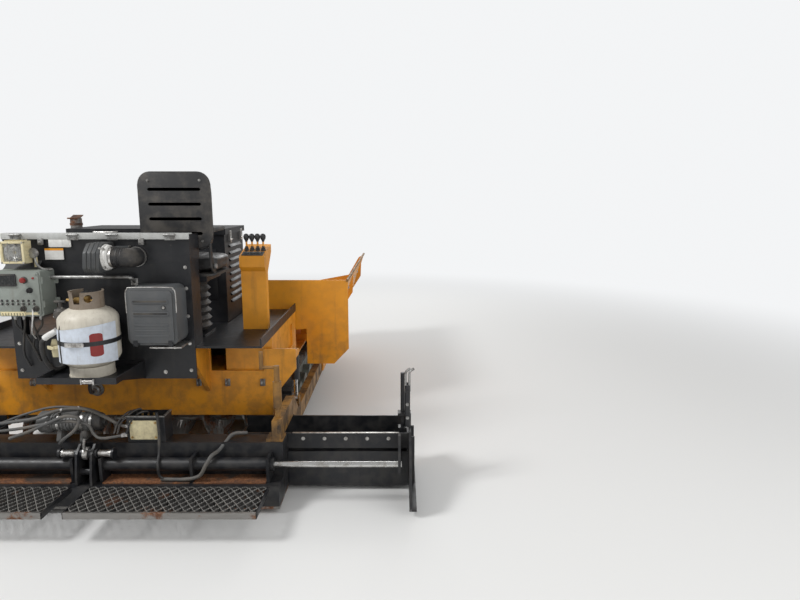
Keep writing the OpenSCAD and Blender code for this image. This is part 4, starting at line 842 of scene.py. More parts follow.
def makeToolBox():
    low, high = cadBox("tool_box")
    near = Vector((high.x, low.y, high.z))
    corner = toolCase["corner"]
    middle = (low.x + high.x) / 2
    form = bmesh.new()
    addPanel(form, offset(low, y=0.016), high, corner, 0.006)
    doorLow, doorHigh = offset(low, 0.016, 0.004, 0.016), offset(near, -0.016, 0.022, -0.016)
    addPanel(form, doorLow, doorHigh, toolCase["door"], 0.004)
    for drop in toolCase["grips"]:
        grip = Vector((middle, low.y, high.z - drop))
        half = toolCase["gripWidth"]
        addPanel(form, offset(grip, -half, 0, -0.012), offset(grip, half, 0.012, 0.012), 0.01, 0.002)
    for k in range(3):
        z = 0.05 + 0.03 * k
        far = Vector((high.x - 0.04, low.y + 0.01, low.z + z + 0.01))
        addPanel(form, offset(low, 0.04, 0.0015, z), far, 0.004, 0.0015)
    case = nodePiece(form, "toolBoxCase", "toolGrey", "tool_box")
    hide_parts("tool_box")
    form = bmesh.new()
    # the dark sheets on the grips are painted shade standing for the recesses of the two handle slots; the
    # black ring round the lock is the lock's own colour
    for drop in toolCase["grips"]:
        grip = Vector((middle, low.y, high.z - drop))
        half = toolCase["gripWidth"] - 0.008
        addPanel(form, offset(grip, -half, -0.0004, -0.0055), offset(grip, half, 0.004, 0.0055), 0.005)
    lock = offset(near, -0.062, 0, -0.108)
    addRod(form, offset(lock, y=-0.0005), offset(lock, y=0.006), 0.011, 20)
    nodePiece(form, "toolBoxSlotShadeAndLock", "hoseRubber", "tool_box")
    form = bmesh.new()
    edge = corner * 0.3
    bend = ((0, -0.14), (0, -corner), (edge, -edge), (corner, 0))
    path = [(low.x + x, low.y + 0.018, high.z + z) for x, z in bend]
    path += [(high.x - x, low.y + 0.018, high.z + z) for x, z in reversed(bend)]
    addTube(form, path, toolCase["trim"], 8, 5)
    addRod(form, offset(lock, y=-0.003), offset(lock, y=0.004), 0.0075, 20, bevel=0.001)
    shelf = low.z - 0.022
    addPanel(form, (middle - 0.03, low.y + 0.03, shelf),
             (high.x + 0.012, high.y + 0.002, shelf + toolCase["ledge"] * 0.45), 0.002, 0.001)
    addBolts(form, [(middle + x, low.y + 0.03, low.z - 0.018) for x in (0.01, 0.11)], toRear, 0.0045)
    nodePiece(form, "toolBoxTrim", "brightSteel", "tool_box")
    form = bmesh.new()
    for x in (low.x + 0.03, high.x - 0.05):
        foot = Vector((x, low.y, low.z))
        addBlock(form, offset(foot, 0, 0.002, -0.006), offset(foot, 0.024, 0.02, 0.03), 0.003)
        addRod(form, offset(foot, -0.004, 0.008, 0.004), offset(foot, 0.028, 0.008, 0.004), 0.005, 12)
    nodePiece(form, "toolBoxHinges", "blackPaint", "tool_box")


# Screed control box: case, door, display, knobs, switches, button and cables

controlCase = {
    "knobs": ((0.193, 0.146, 0.0125), (0.219, 0.045, 0.0125), (0.15, 0.045, 0.0125)),
    "button": (0.167, 0.202), "display": (0.02, 0.172, 0.123, 0.235),
    "switchRows": ((0.088, 7), (0.07, 7)), "strip": (0.018, 0.16, 0.006, 0.028),
    "knobShape": ((1.25, 0), (1.25, 0.004), (1, 0.007), (0.92, 0.02), (0.7, 0.023)),
    "buttonRing": ((0, 0), (0.019, 0), (0.019, 0.003), (0.012, 0.005), (0.012, 0.014), (0, 0.014)),
    "buttonCap": ((0, 0.012), (0.015, 0.012), (0.0155, 0.018), (0.0135, 0.024), (0.007, 0.0265), (0, 0.027)),
    "cables": ((0.21, 0.06), (0.24, -0.05), (0.26, 0.02), (0.2, -0.09)),
    "whiteCable": ((0.205, -0.014, 0.045), (0.212, -0.03, 0.01), (0.196, -0.02, -0.05),
                   (0.162, 0.03, -0.098)),
}


def makeControlBox():
    low, high = cadBox("control_box")
    front = low.y + 0.032
    face = Vector((low.x, front, low.z))
    form = bmesh.new()
    addPanel(form, (low.x, front + 0.01, low.z), high, 0.012, 0.003)
    addPanel(form, (low.x + 0.008, front, low.z + 0.008),
             (high.x - 0.008, front + 0.012, high.z - 0.008), 0.01, 0.002)
    for z in (low.z + 0.05, high.z - 0.07):
        hinge = Vector((high.x, face.y + 0.016, z))
        addRod(form, offset(hinge, 0.003), offset(hinge, 0.003, 0, 0.036), 0.0055, 14)
        addBlock(form, offset(hinge, -0.003, 0, 0.004), offset(hinge, 0.0025, 0.03, 0.032), 0.001)
    for z in (low.z + 0.02, high.z - 0.02):
        addBolts(form, [(x, face.y, z) for x in (low.x + 0.02, high.x - 0.02)], toRear, 0.0045)
    for z in (low.z + 0.07, high.z - 0.07):
        addBlock(form, (low.x + 0.04, high.y - 0.012, z - 0.016), (high.x + 0.022, high.y, z + 0.016), 0.002)
        addBolt(form, (high.x + 0.012, high.y - 0.012, z), toRear, 0.005)
    case = nodePiece(form, "controlCase", "greyPaint", "control_box")
    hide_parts("control_box")

    left, bottom, right, top = controlCase["display"]
    form = bmesh.new()
    addPanel(form, (low.x + left, front - 0.006, low.z + bottom - 0.004),
             (low.x + right, front + 0.002, low.z + top), 0.005, 0.0015)
    for x, z, radius in controlCase["knobs"]:
        spot = offset(face, x, 0, z)
        profile = [(radius * wide, up) for wide, up in controlCase["knobShape"]]
        addLathe(form, [(0, 0)] + profile + [(0, 0.023)], spot, toRear, 24)
        grip = radius * 0.95
        addBlock(form, offset(spot, -0.0025, -0.029, -grip), offset(spot, 0.0025, -0.018, grip), 0.001)
    spot = offset(face, controlCase["button"][0], 0, controlCase["button"][1])
    addLathe(form, controlCase["buttonRing"], spot, toRear, 28)
    switches = []
    for z, count in controlCase["switchRows"]:
        for k in range(count):
            lean = 0.004 if (k * 5 + count) % 3 else -0.004
            switches.append((offset(face, 0.034 + 0.029 * k, 0, z), lean))
    for foot, lean in switches:
        addRod(form, foot, offset(foot, y=-0.003), 0.0072, 6)
    nodePiece(form, "controlKnobs", "hoseRubber", "control_box", bevel=0.0006)
    form = bmesh.new()
    addPanel(form, offset(face, left + 0.008, -0.0068, bottom + 0.006),
             offset(face, right - 0.008, -0.004, top - 0.008), 0.003)
    nodePiece(form, "controlDisplay", "darkGlass", "control_box")
    form = bmesh.new()
    addLathe(form, controlCase["buttonCap"], spot, toRear, 28)
    pilot = offset(face, 0.215, 0, 0.212)
    addLathe(form, [(0, 0), (0.006, 0), (0.006, 0.003), (0, 0.006)], pilot, toRear, 16)
    nodePiece(form, "controlButton", "redPaint", "control_box")
    form = bmesh.new()
    for foot, lean in switches:
        addRod(form, offset(foot, y=-0.002), offset(foot, 0, -0.016, lean), 0.0022, 10, 0.003)
    nodePiece(form, "controlSwitches", "brightSteel", "control_box")
    form = bmesh.new()
    left, right, bottom, top = controlCase["strip"]
    addBlock(form, offset(face, left, -0.003, bottom + 0.014), offset(face, right, 0.002, top), 0.001)
    for k in range(9):
        x = left + 0.003 + 0.0157 * k
        addBlock(form, offset(face, x, -0.005, bottom), offset(face, x + 0.01, 0.002, top - 0.006), 0.0012)
    addPanel(form, offset(face, 0.148, -0.001, 0.01), offset(face, 0.232, 0.001, 0.024), 0.002)
    nodePiece(form, "controlStrip", "creamPaint", "control_box")

    form = bmesh.new()
    glands = bmesh.new()
    for k, (drop, swing) in enumerate(controlCase["cables"]):
        outlet = Vector((low.x + 0.05 + 0.048 * k, high.y - 0.07, low.z))
        addRod(glands, outlet, offset(outlet, z=-0.012), 0.0125, 6)
        addRod(glands, offset(outlet, z=-0.012), offset(outlet, z=-0.03), 0.0105, 18, 0.008)
        run = ((0, 0, -0.01), (0, 0, -0.06), (swing * 0.5, 0.02, -drop * 0.55), (swing, 0.046, -drop),
               (swing + 0.02, 0.06, -drop - 0.08))
        addTube(form, offsets(outlet, run), 0.0062, 10, 6)
    nodePiece(form, "controlCables", "hoseRubber", "control_box")
    nodePiece(glands, "controlGlands", "dullAlloy", "control_box")
    form = bmesh.new()
    run = offsets(face, controlCase["whiteCable"])
    run.append((low.x + 0.14, high.y - 0.05, low.z - 0.145))
    addTube(form, run, 0.0034, 8, 8)
    nodePiece(form, "controlWhiteCable", "whitePaint", "control_box")


# Console: pale rim, hinges, latches, blank sign and label, rail with its brackets

consoleTrim = {
    "rim": 0.03, "sign": (-0.26, 1.415, -0.136, 1.462), "label": (-0.287, 1.345, -0.183, 1.408),
    "rail": (-0.366, 0.2, 1.25, 0.0095),
    "railBend": ((0, 0.003, -0.03), (0, -0.026, -0.01), (0.02, -0.034, 0), (0.06, -0.034, 0)),
    "hinges": (-0.44, -0.12, 0.1, 0.42), "latches": (-0.3, 0.26), "shelf": (-0.5, -0.31),
}


def makeConsole():
    low, high = cadBox("console")
    back = low.y
    rim = Vector((0, back, high.z))
    form = bmesh.new()
    addBlock(form, (low.x - 0.004, back - 0.007, high.z - consoleTrim["rim"]),
             (high.x + 0.004, back + 0.004, high.z + 0.004), 0.003)
    addBlock(form, (low.x - 0.004, back - 0.002, high.z - 0.002),
             (high.x + 0.004, back + 0.05, high.z + 0.004), 0.0015)
    nodePiece(form, "consoleRim", "paleGreyPaint", "console")
    form = bmesh.new()
    for x in consoleTrim["hinges"]:
        pin = offset(rim, x, -0.012, -0.004)
        addRod(form, offset(pin, -0.032), offset(pin, 0.032), 0.0072, 16, bevel=0.001)
        for shift in (-0.022, 0.0, 0.022):
            addRing(form, offset(pin, shift), toRight, 0.0066, 0.0082, 0.0016)
        addBlock(form, offset(rim, x - 0.03, -0.0095, -0.034), offset(rim, x + 0.03, -0.0065, -0.006), 0.001)
        addBolts(form, [offset(rim, x + shift, -0.0095, -0.022) for shift in (-0.018, 0.018)], toRear, 0.0042)
    for x in consoleTrim["latches"]:
        addBlock(form, offset(rim, x - 0.015, -0.018, -0.06), offset(rim, x + 0.015, 0, -0.024), 0.004)
        addBlock(form, offset(rim, x - 0.01, -0.024, -0.052), offset(rim, x + 0.01, -0.016, -0.04), 0.003)
    nodePiece(form, "consoleHinges", "dullAlloy", "console")
    form = bmesh.new()
    left, bottom, right, top = consoleTrim["sign"]
    addPanel(form, (left, back - 0.005, bottom), (right, back + 0.001, top), 0.004, 0.0008)
    left, bottom, right, top = consoleTrim["label"]
    addPanel(form, (left, back - 0.0026, bottom), (right, back + 0.001, top - 0.012), 0.002)
    nodePiece(form, "consoleBlankSigns", "whitePaint", "console")
    form = bmesh.new()
    addPanel(form, (left, back - 0.0028, top - 0.0118), (right, back + 0.001, top), 0.002)
    nodePiece(form, "consoleLabelEdge", "yellowPaint", "console")
    form = bmesh.new()
    start, end, height, radius = consoleTrim["rail"]
    path = offsets((start, back, height), consoleTrim["railBend"])
    path += [offset((end, back, height), -x, y, z) for x, y, z in reversed(consoleTrim["railBend"])]
    addTube(form, path, radius, 14, 5)
    for x in (start, end):
        foot = Vector((x, back + 0.001, height))
        addBlock(form, offset(foot, -0.02, 0, -0.052), offset(foot, 0.02, 0.005, -0.01), 0.002)
        addBolts(form, offsets(foot, ((-0.013, 0, -0.044), (0.013, 0, -0.044))), toRear, 0.0045)
    nodePiece(form, "consoleRail", "dullAlloy", "console")
    form = bmesh.new()
    left, right = consoleTrim["shelf"]
    outline = [(back + 0.001, 1.338), (back - 0.045, 1.3), (back - 0.045, 1.296), (back + 0.001, 1.332)]
    addPlate(form, outline, "x", left, right)
    addBlock(form, (left, back - 0.05, 1.286), (right, back - 0.044, 1.3), 0.001)
    nodePiece(form, "consoleShelf", "darkGreyPaint", "console")


makeToolBox()
makeControlBox()
makeConsole()
say("tool box, control box and console")


# Fold-up walkways: toothed diamond grating in a channel frame

walkway = {"rows": 8, "pitch": 0.0475, "strand": 0.0034, "foot": 0.156, "deck": 0.1705, "tooth": 0.0042,
           "frame": 0.005, "hingeY": -1.81, "hingeZ": 0.15, "knuckles": (0.11, 0.89), "edge": 0.014,
           "teeth": 3, "ribs": 3}


def addStrand(form, start, end):
    start, end = Vector(start), Vector(end)
    along = end - start
    across = Vector((-along.y, along.x, 0)).normalized() * walkway["strand"] / 2
    deck, tip, teeth = walkway["deck"], walkway["deck"] + walkway["tooth"], walkway["teeth"]
    outline = [(0.0, walkway["foot"]), (1.0, walkway["foot"])]
    for k in range(teeth, 0, -1):
        outline += [(k / teeth, deck), ((k - 0.3) / teeth, tip), ((k - 0.7) / teeth, tip)]
    outline.append((0.0, deck))
    loops = []
    for side in (1, -1):
        near = start + across * side
        loops.append([form.verts.new((near.x + along.x * s, near.y + along.y * s, z)) for s, z in outline])
    form.faces.new(loops[0])
    form.faces.new(list(reversed(loops[1])))
    for i in range(len(outline)):
        k = (i + 1) % len(outline)
        form.faces.new((loops[0][i], loops[1][i], loops[1][k], loops[0][k]))


def makeWalkway(name, side):
    node = "walkway_" + name
    low, high = cadBox(node)
    left, right = (low.x, high.x) if side > 0 else (-high.x, -low.x)
    hingeY, hingeZ, thick, rows = [walkway[name] for name in ("hingeY", "hingeZ", "frame", "rows")]
    rear, front = low.y, hingeY - 0.014
    step = (front - rear - 2 * thick) / rows
    columns = int(round((right - left - 2 * thick) / (walkway["pitch"] / 2)))
    run = (right - left - 2 * thick) / columns
    form = bmesh.new()
    for j in range(rows + 1):
        y = rear + thick + step * j
        # the strands zigzag, and those of the outer rows stay within the frame
        inward = 0.0 if j == 0 else -step / 2
        outward = 0.0 if j == rows else step / 2
        for i in range(columns):
            ends = []
            for e in (i, i + 1):
                ends.append((side * (left + thick + run * e), y + (outward if (e + j) % 2 else inward), 0))
            addStrand(form, *ends)
    grating = nodePiece(form, node + "_grating", "gratingSteel", node, smooth=20)
    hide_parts(node)
    form = bmesh.new()

    def block(x0, x1, y0, y1, z0, z1, bevel=0.0012):
        addBlock(form, (min(side * x0, side * x1), y0, z0), (max(side * x0, side * x1), y1, z1), bevel)

    block(left, left + thick, rear, front, low.z, high.z)
    block(right - thick, right, rear, front, low.z, high.z)
    block(left + thick, right - thick, front - thick, front, low.z, high.z)
    for k in range(walkway["ribs"]):
        x = left + (right - left) * (k + 1) / 4
        block(x - 0.004, x + 0.004, rear + thick, front - thick, low.z, walkway["foot"] + 0.001)
    for x in walkway["knuckles"]:
        addRod(form, (side * x, hingeY, hingeZ), (side * (x + 0.05), hingeY, hingeZ), 0.0089, 24)
        block(x + 0.0005, x + 0.0495, front - 0.002, hingeY - 0.004, low.z, low.z + 0.009, 0.001)
        places = [(side * (x + shift), front - thick, low.z + 0.02) for shift in (0.014, 0.036)]
        addBolts(form, places, toRear, 0.004)
    nodePiece(form, node + "_frame", "blackPaint", node)
    form = bmesh.new()
    block(left, right, rear, rear + thick, low.z, high.z)
    block(left + 0.001, right - 0.001, rear + thick, rear + walkway["edge"],
          high.z - 0.004, high.z - 0.0005, 0.0006)
    nodePiece(form, node + "_rim", "wornSteel", node)


for sideName, sideSign in sides.items():
    makeWalkway(sideName, sideSign)
say("walkways")


# Operator's seat: shell, two sewn pads, armrests and bellows

operatorSeat = {
    "shell": 0.012, "roundness": 5.0, "crown": 0.16, "pull": 0.035, "cuts": 30, "fold": 0.022,
    "bracket": ((0.004, 0.06), (0.06, 0.01), (0.11, 0.01), (0.04, 0.11), (0.02, 0.24), (0.004, 0.3)),
    "armrest": ((0.02, 0.262), (0.02, 0.292), (0.24, 0.296), (0.262, 0.28), (0.24, 0.266)),
    "seatSeams": ((0, -0.55), (0, 0.55), (1, 0.52)),
    "backSeams": ((0, -0.55), (0, 0.55), (2, 0.3), (2, -0.42)),
    "bellows": (0.098, 0.12), "rings": 7,
}


def addPad(form, low, high, flat, seams):
    # crowned pad: flat is the thin axis (0, 1, 2), seams are places across it from -1 to 1 with their axis
    roundness, crown, pull = [operatorSeat[name] for name in ("roundness", "crown", "pull")]
    corners = bmesh.ops.create_cube(form, size=2.0)["verts"]
    edges = list({edge for corner in corners for edge in corner.link_edges})
    bmesh.ops.subdivide_edges(form, edges=edges, cuts=operatorSeat["cuts"], use_grid_fill=True)
    others = [axis for axis in range(3) if axis != flat]
    half, middle = (high - low) / 2, (high + low) / 2
    for point in form.verts:
        spot = list(point.co)
        length = sum(abs(value) ** roundness for value in spot) ** (1 / roundness)
        spot = [value / length for value in spot]
        a, b = spot[others[0]], spot[others[1]]
        bulge = (1 - a * a) * (1 - b * b)
        spot[flat] *= (1 - crown) + crown * bulge * 1.25
        spot[others[0]] *= 1 - pull * (1 - b * b) * (1 - abs(spot[flat]))
        spot[others[1]] *= 1 - pull * (1 - a * a) * (1 - abs(spot[flat]))
        for axis, place in seams:
            spot[flat] *= 1 - 0.16 * math.exp(-((spot[axis] - place) / operatorSeat["fold"]) ** 2)
        point.co = [middle[k] + half[k] * spot[k] for k in range(3)]


def makeSeat():
    low, high = cadBox("seat")
    back = low.y
    middle = Vector(((low.x + high.x) / 2, back, low.z))
    form = bmesh.new()
    far = (high.x - 0.004, back + operatorSeat["shell"], high.z - 0.004)
    addPanel(form, offset(low, 0.004, 0, 0.175), far, 0.075, 0.004, 8)
    for k in range(4):
        z = low.z + 0.25 + 0.085 * k
        addPanel(form, (low.x + 0.06, back, z), (high.x - 0.06, back + 0.006, z + 0.018), 0.008, 0.002)
    for x in (low.x + 0.022, high.x - 0.034):
        outline = [(back + y, low.z + z) for y, z in operatorSeat["bracket"]]
        addPlate(form, outline, "x", x, x + 0.012, bevel=0.003)
    pan = roundedRect(low.x + 0.012, back + 0.03, high.x - 0.012, high.y - 0.034, 0.05)
    addPlate(form, pan, "z", low.z + 0.0005, low.z + 0.016, bevel=0.004)
    for x in (middle.x - 0.2, middle.x + 0.2):
        outline = [(back + y, low.z + z) for y, z in operatorSeat["armrest"]]
        addPlate(form, outline, "x", x - 0.014, x + 0.014, bevel=0.009)
    shell = nodePiece(form, "seatShell", "blackPlastic", "seat")
    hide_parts("seat")
    form = bmesh.new()
    places = [offset(middle, x, 0.0005, z) for z in (0.215, 0.565) for x in (-0.15, 0.15)]
    addBolts(form, places, toRear, 0.006)
    for side in (-1, 1):
        pivot = offset(middle, 0, 0.052, 0.06)
        addRod(form, offset(pivot, side * 0.196), offset(pivot, side * 0.212), 0.016, 20, bevel=0.002)
        x = middle.x + side * 0.12
        near = (x - 0.01, back + 0.06, low.z + 0.0005)
        addBlock(form, near, (x + 0.01, high.y - 0.05, low.z + 0.004), 0.001)
    nodePiece(form, "seatBolts", "dullAlloy", "seat")
    form = bmesh.new()
    addPad(form, offset(low, 0.008, 0.072, 0.014), Vector((high.x - 0.008, high.y - 0.004, low.z + 0.124)), 2,
           operatorSeat["seatSeams"])
    pad = nodePiece(form, "seatPad", "seatVinyl", "seat", smooth=80)
    form = bmesh.new()
    addPad(form, offset(low, 0.01, 0.008, 0.15), Vector((high.x - 0.01, back + 0.078, high.z - 0.008)), 1,
           operatorSeat["backSeams"])
    pad = nodePiece(form, "seatBackPad", "seatVinyl", "seat", smooth=80)
    form = bmesh.new()
    postLow, postHigh = cadBox("seat_post")
    drop, top = postLow.z + 0.03, postHigh.z - 0.02
    folds = operatorSeat["rings"] * 2
    profile = [(operatorSeat["bellows"][k % 2], drop + (top - drop) * k / folds) for k in range(folds + 1)]
    addLathe(form, profile, ((postLow.x + postHigh.x) / 2, (postLow.y + postHigh.y) / 2, 0), sides=40)
    nodePiece(form, "seatBellows", "hoseRubber", "seat_post", smooth=30)


makeSeat()
say("seat")


# Air cleaner: housing with ribs, pale end cover, clamped bend

airCleaner = {
    "housing": 0.092, "cover": 0.066, "duct": 0.05, "clips": 4, "ripple": 0.075,
    "bend": ((0.03, 0, 0), (0.066, 0, 0), (0.104, 0.01, -0.004), (0.122, 0.044, -0.006)),
}


def makeAirCleaner():
    low, high = cadBox("air_cleaner")
    end, reach, wide = low.x + airCleaner["housing"], airCleaner["cover"], airCleaner["duct"]
    hub = Vector((end, (low.y + high.y) / 2 + 0.014, (low.z + high.z) / 2))
    form = bmesh.new()
    outline = [(low.y + 0.06, low.z + 0.004), (high.y, low.z + 0.004), (high.y, high.z - 0.004),
               (low.y + 0.105, high.z - 0.004), (low.y + 0.055, high.z - 0.05), (low.y + 0.04, low.z + 0.03)]
    addPlate(form, outline, "x", low.x, end, bevel=0.008)
    ribOutline = [(y - 0.004 if y < hub.y else y, z) for y, z in outline]
    for k in range(3):
        x = low.x + 0.018 + 0.024 * k
        addPlate(form, ribOutline, "x", x, x + 0.007, bevel=0.002)
    for height in (low.z + 0.03, high.z - 0.05):
        addBlock(form, (end - 0.03, high.y - 0.03, height), (high.x - 0.08, high.y, height + 0.022), 0.002)
    case = nodePiece(form, "cleanerHousing", "darkGreyPaint", "air_cleaner")
    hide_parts("air_cleaner")
    form = bmesh.new()
    profile = [(0, -0.004), (reach + 0.006, -0.004), (reach + 0.006, 0.004), (reach, 0.006), (reach, 0.02),
               (reach - 0.006, 0.027), (0.04, 0.031), (0, 0.031)]
    addLathe(form, profile, hub, toRight, 48)
    nodePiece(form, "cleanerCover", "whitePaint", "air_cleaner")
    form = bmesh.new()
    mouth = Vector((end + 0.124, high.y + 0.001, hub.z - 0.006))
    addTube(form, offsets(hub, airCleaner["bend"]) + [mouth], wide, 28, 9, airCleaner["ripple"])
    nodePiece(form, "cleanerDuct", "hoseRubber", "air_cleaner", smooth=60)
    form = bmesh.new()
    addRing(form, offset(hub, 0.038), toRight, wide - 0.002, wide + 0.0055, 0.012)
    addRing(form, offset(mouth, y=-0.015), (0, 1, 0), wide - 0.002, wide + 0.006, 0.012)
    for place in (offset(hub, 0.038, -0.02, wide + 0.008), offset(mouth, -0.034, -0.015, wide + 0.008)):
        addRod(form, offset(place, y=-0.012), offset(place, y=0.012), 0.0048, 6)
    for angle in fullTurn(airCleaner["clips"], math.pi / airCleaner["clips"]):
        spot = offset(hub, 0, (reach + 0.006) * math.cos(angle), (reach + 0.006) * math.sin(angle))
        addBlock(form, offset(spot, -0.014, -0.006, -0.006), offset(spot, 0.016, 0.006, 0.006), 0.0015)
    nodePiece(form, "cleanerClamps", "brightSteel", "air_cleaner")


# Work lamp: reflector, lens, bezel, screws, knob and its bent stay

workLamp = {
    "width": 0.124, "foot": 0.025,
    "reflector": ((0, -0.0145), (0.046, -0.0145), (0.046, 0.004), (0.044, 0.004), (0.03, -0.006),
                  (0.014, -0.0115), (0, -0.0128)),
    "knob": ((0, -0.004), (0.026, -0.004), (0.028, 0.001), (0.028, 0.01), (0.024, 0.015), (0.01, 0.018),
             (0, 0.018)),
    "stay": ((0, 0.006, -0.012), (0.006, 0.004, -0.055), (0.034, 0.006, -0.086), (0.078, 0.03, -0.094)),
}


def makeLamp():
    low, high = cadBox("work_lamp")
    left, right, bottom, top = low.x, low.x + workLamp["width"], low.z + workLamp["foot"], high.z
    front = low.y
    centre = Vector(((left + right) / 2, front, (bottom + top) / 2))
    form = bmesh.new()
    for x0, x1, z0, z1 in ((left - 0.003, right + 0.003, top - 0.012, top),
                           (left - 0.003, right + 0.003, bottom, bottom + 0.012),
                           (left - 0.003, left + 0.011, bottom, top),
                           (right - 0.011, right + 0.003, bottom, top)):
        addBlock(form, (x0, front - 0.005, z0), (x1, front + 0.01, z1), 0.0035)
    for k in range(4):
        z = bottom + 0.03 + 0.02 * k
        addBlock(form, (right - 0.001, front + 0.016, z), (right + 0.004, front + 0.06, z + 0.006), 0.0015)
    for k in range(5):
        x = left + 0.018 + 0.022 * k
        near = (x - 0.0013, front + 0.012, top - 0.001)
        addBlock(form, near, (x + 0.0013, front + 0.066, top + 0.006), 0.0008)
    nodePiece(form, "lampBezel", "creamPaint", "work_lamp")
    form = bmesh.new()
    addLathe(form, workLamp["reflector"], offset(centre, y=0.006), toRear, 36)
    places = [(x, front - 0.005, z) for z in (bottom + 0.005, top - 0.006)
              for x in (left + 0.004, right - 0.004)]
    addBolts(form, places, toRear, 0.0036)
    for x in (centre.x - 0.018, centre.x + 0.018):
        wire = [(x, front - 0.003, bottom + 0.004), (x, front - 0.012, centre.z),
                (x, front - 0.003, top - 0.004)]
        addTube(form, wire, 0.0022, 8, 6)
    nodePiece(form, "lampReflector", "brightSteel", "work_lamp")
    form = bmesh.new()
    addPanel(form, (left + 0.01, front + 0.0005, bottom + 0.011), (right - 0.01, front + 0.0035, top - 0.011),
             0.008, 0.0008)
    nodePiece(form, "lampLens", "lampGlass", "work_lamp")
    form = bmesh.new()
    hub = Vector((high.x - 0.01, front + 0.058, low.z + 0.078))
    addLathe(form, workLamp["knob"], hub, toRear, 30)
    addTube(form, offsets(hub, workLamp["stay"]), 0.0062, 12, 7)
    nodePiece(form, "lampKnob", "dullAlloy", "work_lamp")
    form = bmesh.new()
    run = offsets(centre, ((0, 0.068, -0.02), (0.02, 0.09, -0.05)))
    base = (centre.x, front, low.z)
    run += offsets(base, ((0.06, 0.11, -0.004), (0.09, 0.124, -0.05), (0.1, 0.132, -0.11)))
    addTube(form, run, 0.0048, 10, 7)
    nodePiece(form, "lampCable", "hoseRubber", "work_lamp")


# Blower: finned motor, fan housing, black end, bands, feet; hoses over it

blowerShape = {
    "motor": 0.053, "fan": 0.061, "fins": 11, "length": 0.215, "hose": 0.0095, "feet": (0.03, 0.16),
    "end": ((0, 0), (0.049, 0), (0.051, 0.004), (0.051, 0.052), (0.044, 0.062), (0.022, 0.066),
            (0.022, 0.082), (0.018, 0.084), (0, 0.084)),
    "runs": (
        ((-0.98, -0.01, -0.055), (-0.72, -0.03, -0.03), (-0.46, -0.075, 0.02), (-0.3, -0.074, 0.045),
         (-0.19, -0.03, 0.076), (-0.07, 0.0, 0.072), (0.05, -0.03, 0.045), (0.16, -0.054, 0.0),
         (0.215, -0.05, -0.01)),
        ((-0.98, -0.03, -0.075), (-0.66, -0.055, -0.05), (-0.4, -0.092, -0.01), (-0.24, -0.094, 0.02),
         (-0.1, -0.086, 0.034), (-0.01, -0.078, 0.01), (0.02, -0.08, -0.04), (0.07, -0.092, -0.062),
         (0.2, -0.07, -0.05)),
        ((-0.98, 0.01, -0.07), (-0.7, -0.01, -0.058), (-0.52, -0.03, 0.0), (-0.38, -0.02, 0.05),
         (-0.26, 0.02, 0.074), (-0.12, 0.03, 0.07), (0.0, 0.016, 0.05), (0.09, 0.012, -0.01),
         (0.1, 0.006, -0.056)),
        ((-0.44, -0.088, -0.065), (-0.34, -0.094, -0.028), (-0.22, -0.1, 0.024), (-0.12, -0.092, 0.064),
         (-0.05, -0.088, 0.05), (-0.07, -0.098, -0.01), (-0.13, -0.108, -0.06), (-0.16, -0.096, -0.09)),
    ),
}


def makeBlower():
    low, high = cadBox("blower")
    centre = Vector((0, (low.y + high.y) / 2, high.z - 0.062))
    radius, reach, length = blowerShape["motor"], blowerShape["fan"], blowerShape["length"]
    start = low.x + 0.075
    root = radius - 0.004
    form = bmesh.new()
    profile = [(0, 0.0), (root, 0.0)]
    for k in range(blowerShape["fins"]):
        x = length * k / blowerShape["fins"]
        profile += [(root, x + 0.004), (radius, x + 0.005), (radius, x + 0.012), (root, x + 0.013)]
    profile += [(root, length), (0, length)]
    addLathe(form, profile, offset(centre, start), toRight, 48)
    profile = [(0, 0), (0.03, 0), (0.036, -0.006), (reach - 0.01, -0.006), (reach, 0.004), (reach, 0.058),
               (reach - 0.012, 0.066), (0, 0.066)]
    addLathe(form, profile, offset(centre, low.x + 0.01), toRight, 48)
    addBlock(form, offset(centre, start + 0.06, -0.03, radius - 0.006),
             offset(centre, start + 0.15, 0.03, radius + 0.01), 0.004)
    for foot in blowerShape["feet"]:
        x, y, waist = start + foot, centre.y, centre.z - 0.03
        outline = [(y - 0.048, low.z), (y + 0.048, low.z), (y + 0.048, low.z + 0.01), (y + 0.026, waist),
                   (y - 0.026, waist), (y - 0.048, low.z + 0.01)]
        addPlate(form, outline, "x", x, x + 0.026, bevel=0.002)
    motor = nodePiece(form, "blowerMotor", "castGrey", "blower")
    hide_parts("blower")
    form = bmesh.new()
    addLathe(form, blowerShape["end"], offset(centre, start + length - 0.002), toRight, 40)
    nodePiece(form, "blowerEnd", "hoseRubber", "blower")
    form = bmesh.new()
    bands = [start + foot + 0.013 for foot in blowerShape["feet"]]
    for x in bands + [start + length + 0.01]:
        addRing(form, offset(centre, x), toRight, radius - 0.003, radius + 0.0022, 0.014)
        addRod(form, offset(centre, x, -0.03, root), offset(centre, x, -0.01, radius + 0.006), 0.0045, 6)
    for angle in fullTurn(6):
        spot = offset(centre, low.x + 0.0045, 0.044 * math.cos(angle), 0.044 * math.sin(angle))
        addBolt(form, spot, (-1, 0, 0), 0.0045)
    places = [(x, centre.y + y, low.z + 0.01) for x in bands for y in (-0.038, 0.038)]
    addBolts(form, places, toTop, 0.006)
    nodePiece(form, "blowerBands", "brightSteel", "blower")

    wide = blowerShape["hose"]
    runs = [offsets(centre, run) for run in blowerShape["runs"]]
    form = bmesh.new()
    for k, run in enumerate(runs):
        addTube(form, run, wide - 0.0012 * (k % 3), 12, 8)
    nodePiece(form, "screedHoses", "hoseGrey", "blower")
    form = bmesh.new()
    for run, index in zip(runs, (4, 3, 5)):
        along = run[index + 1] - run[index]
        addRing(form, run[index] + along * 0.12, along, wide - 0.001, wide + 0.003, 0.01)
    for run in runs[:2]:
        addRod(form, run[-1] + (run[-2] - run[-1]).normalized() * 0.03, run[-1], 0.0125, 6)
    nodePiece(form, "hoseFittings", "brightSteel", "blower")


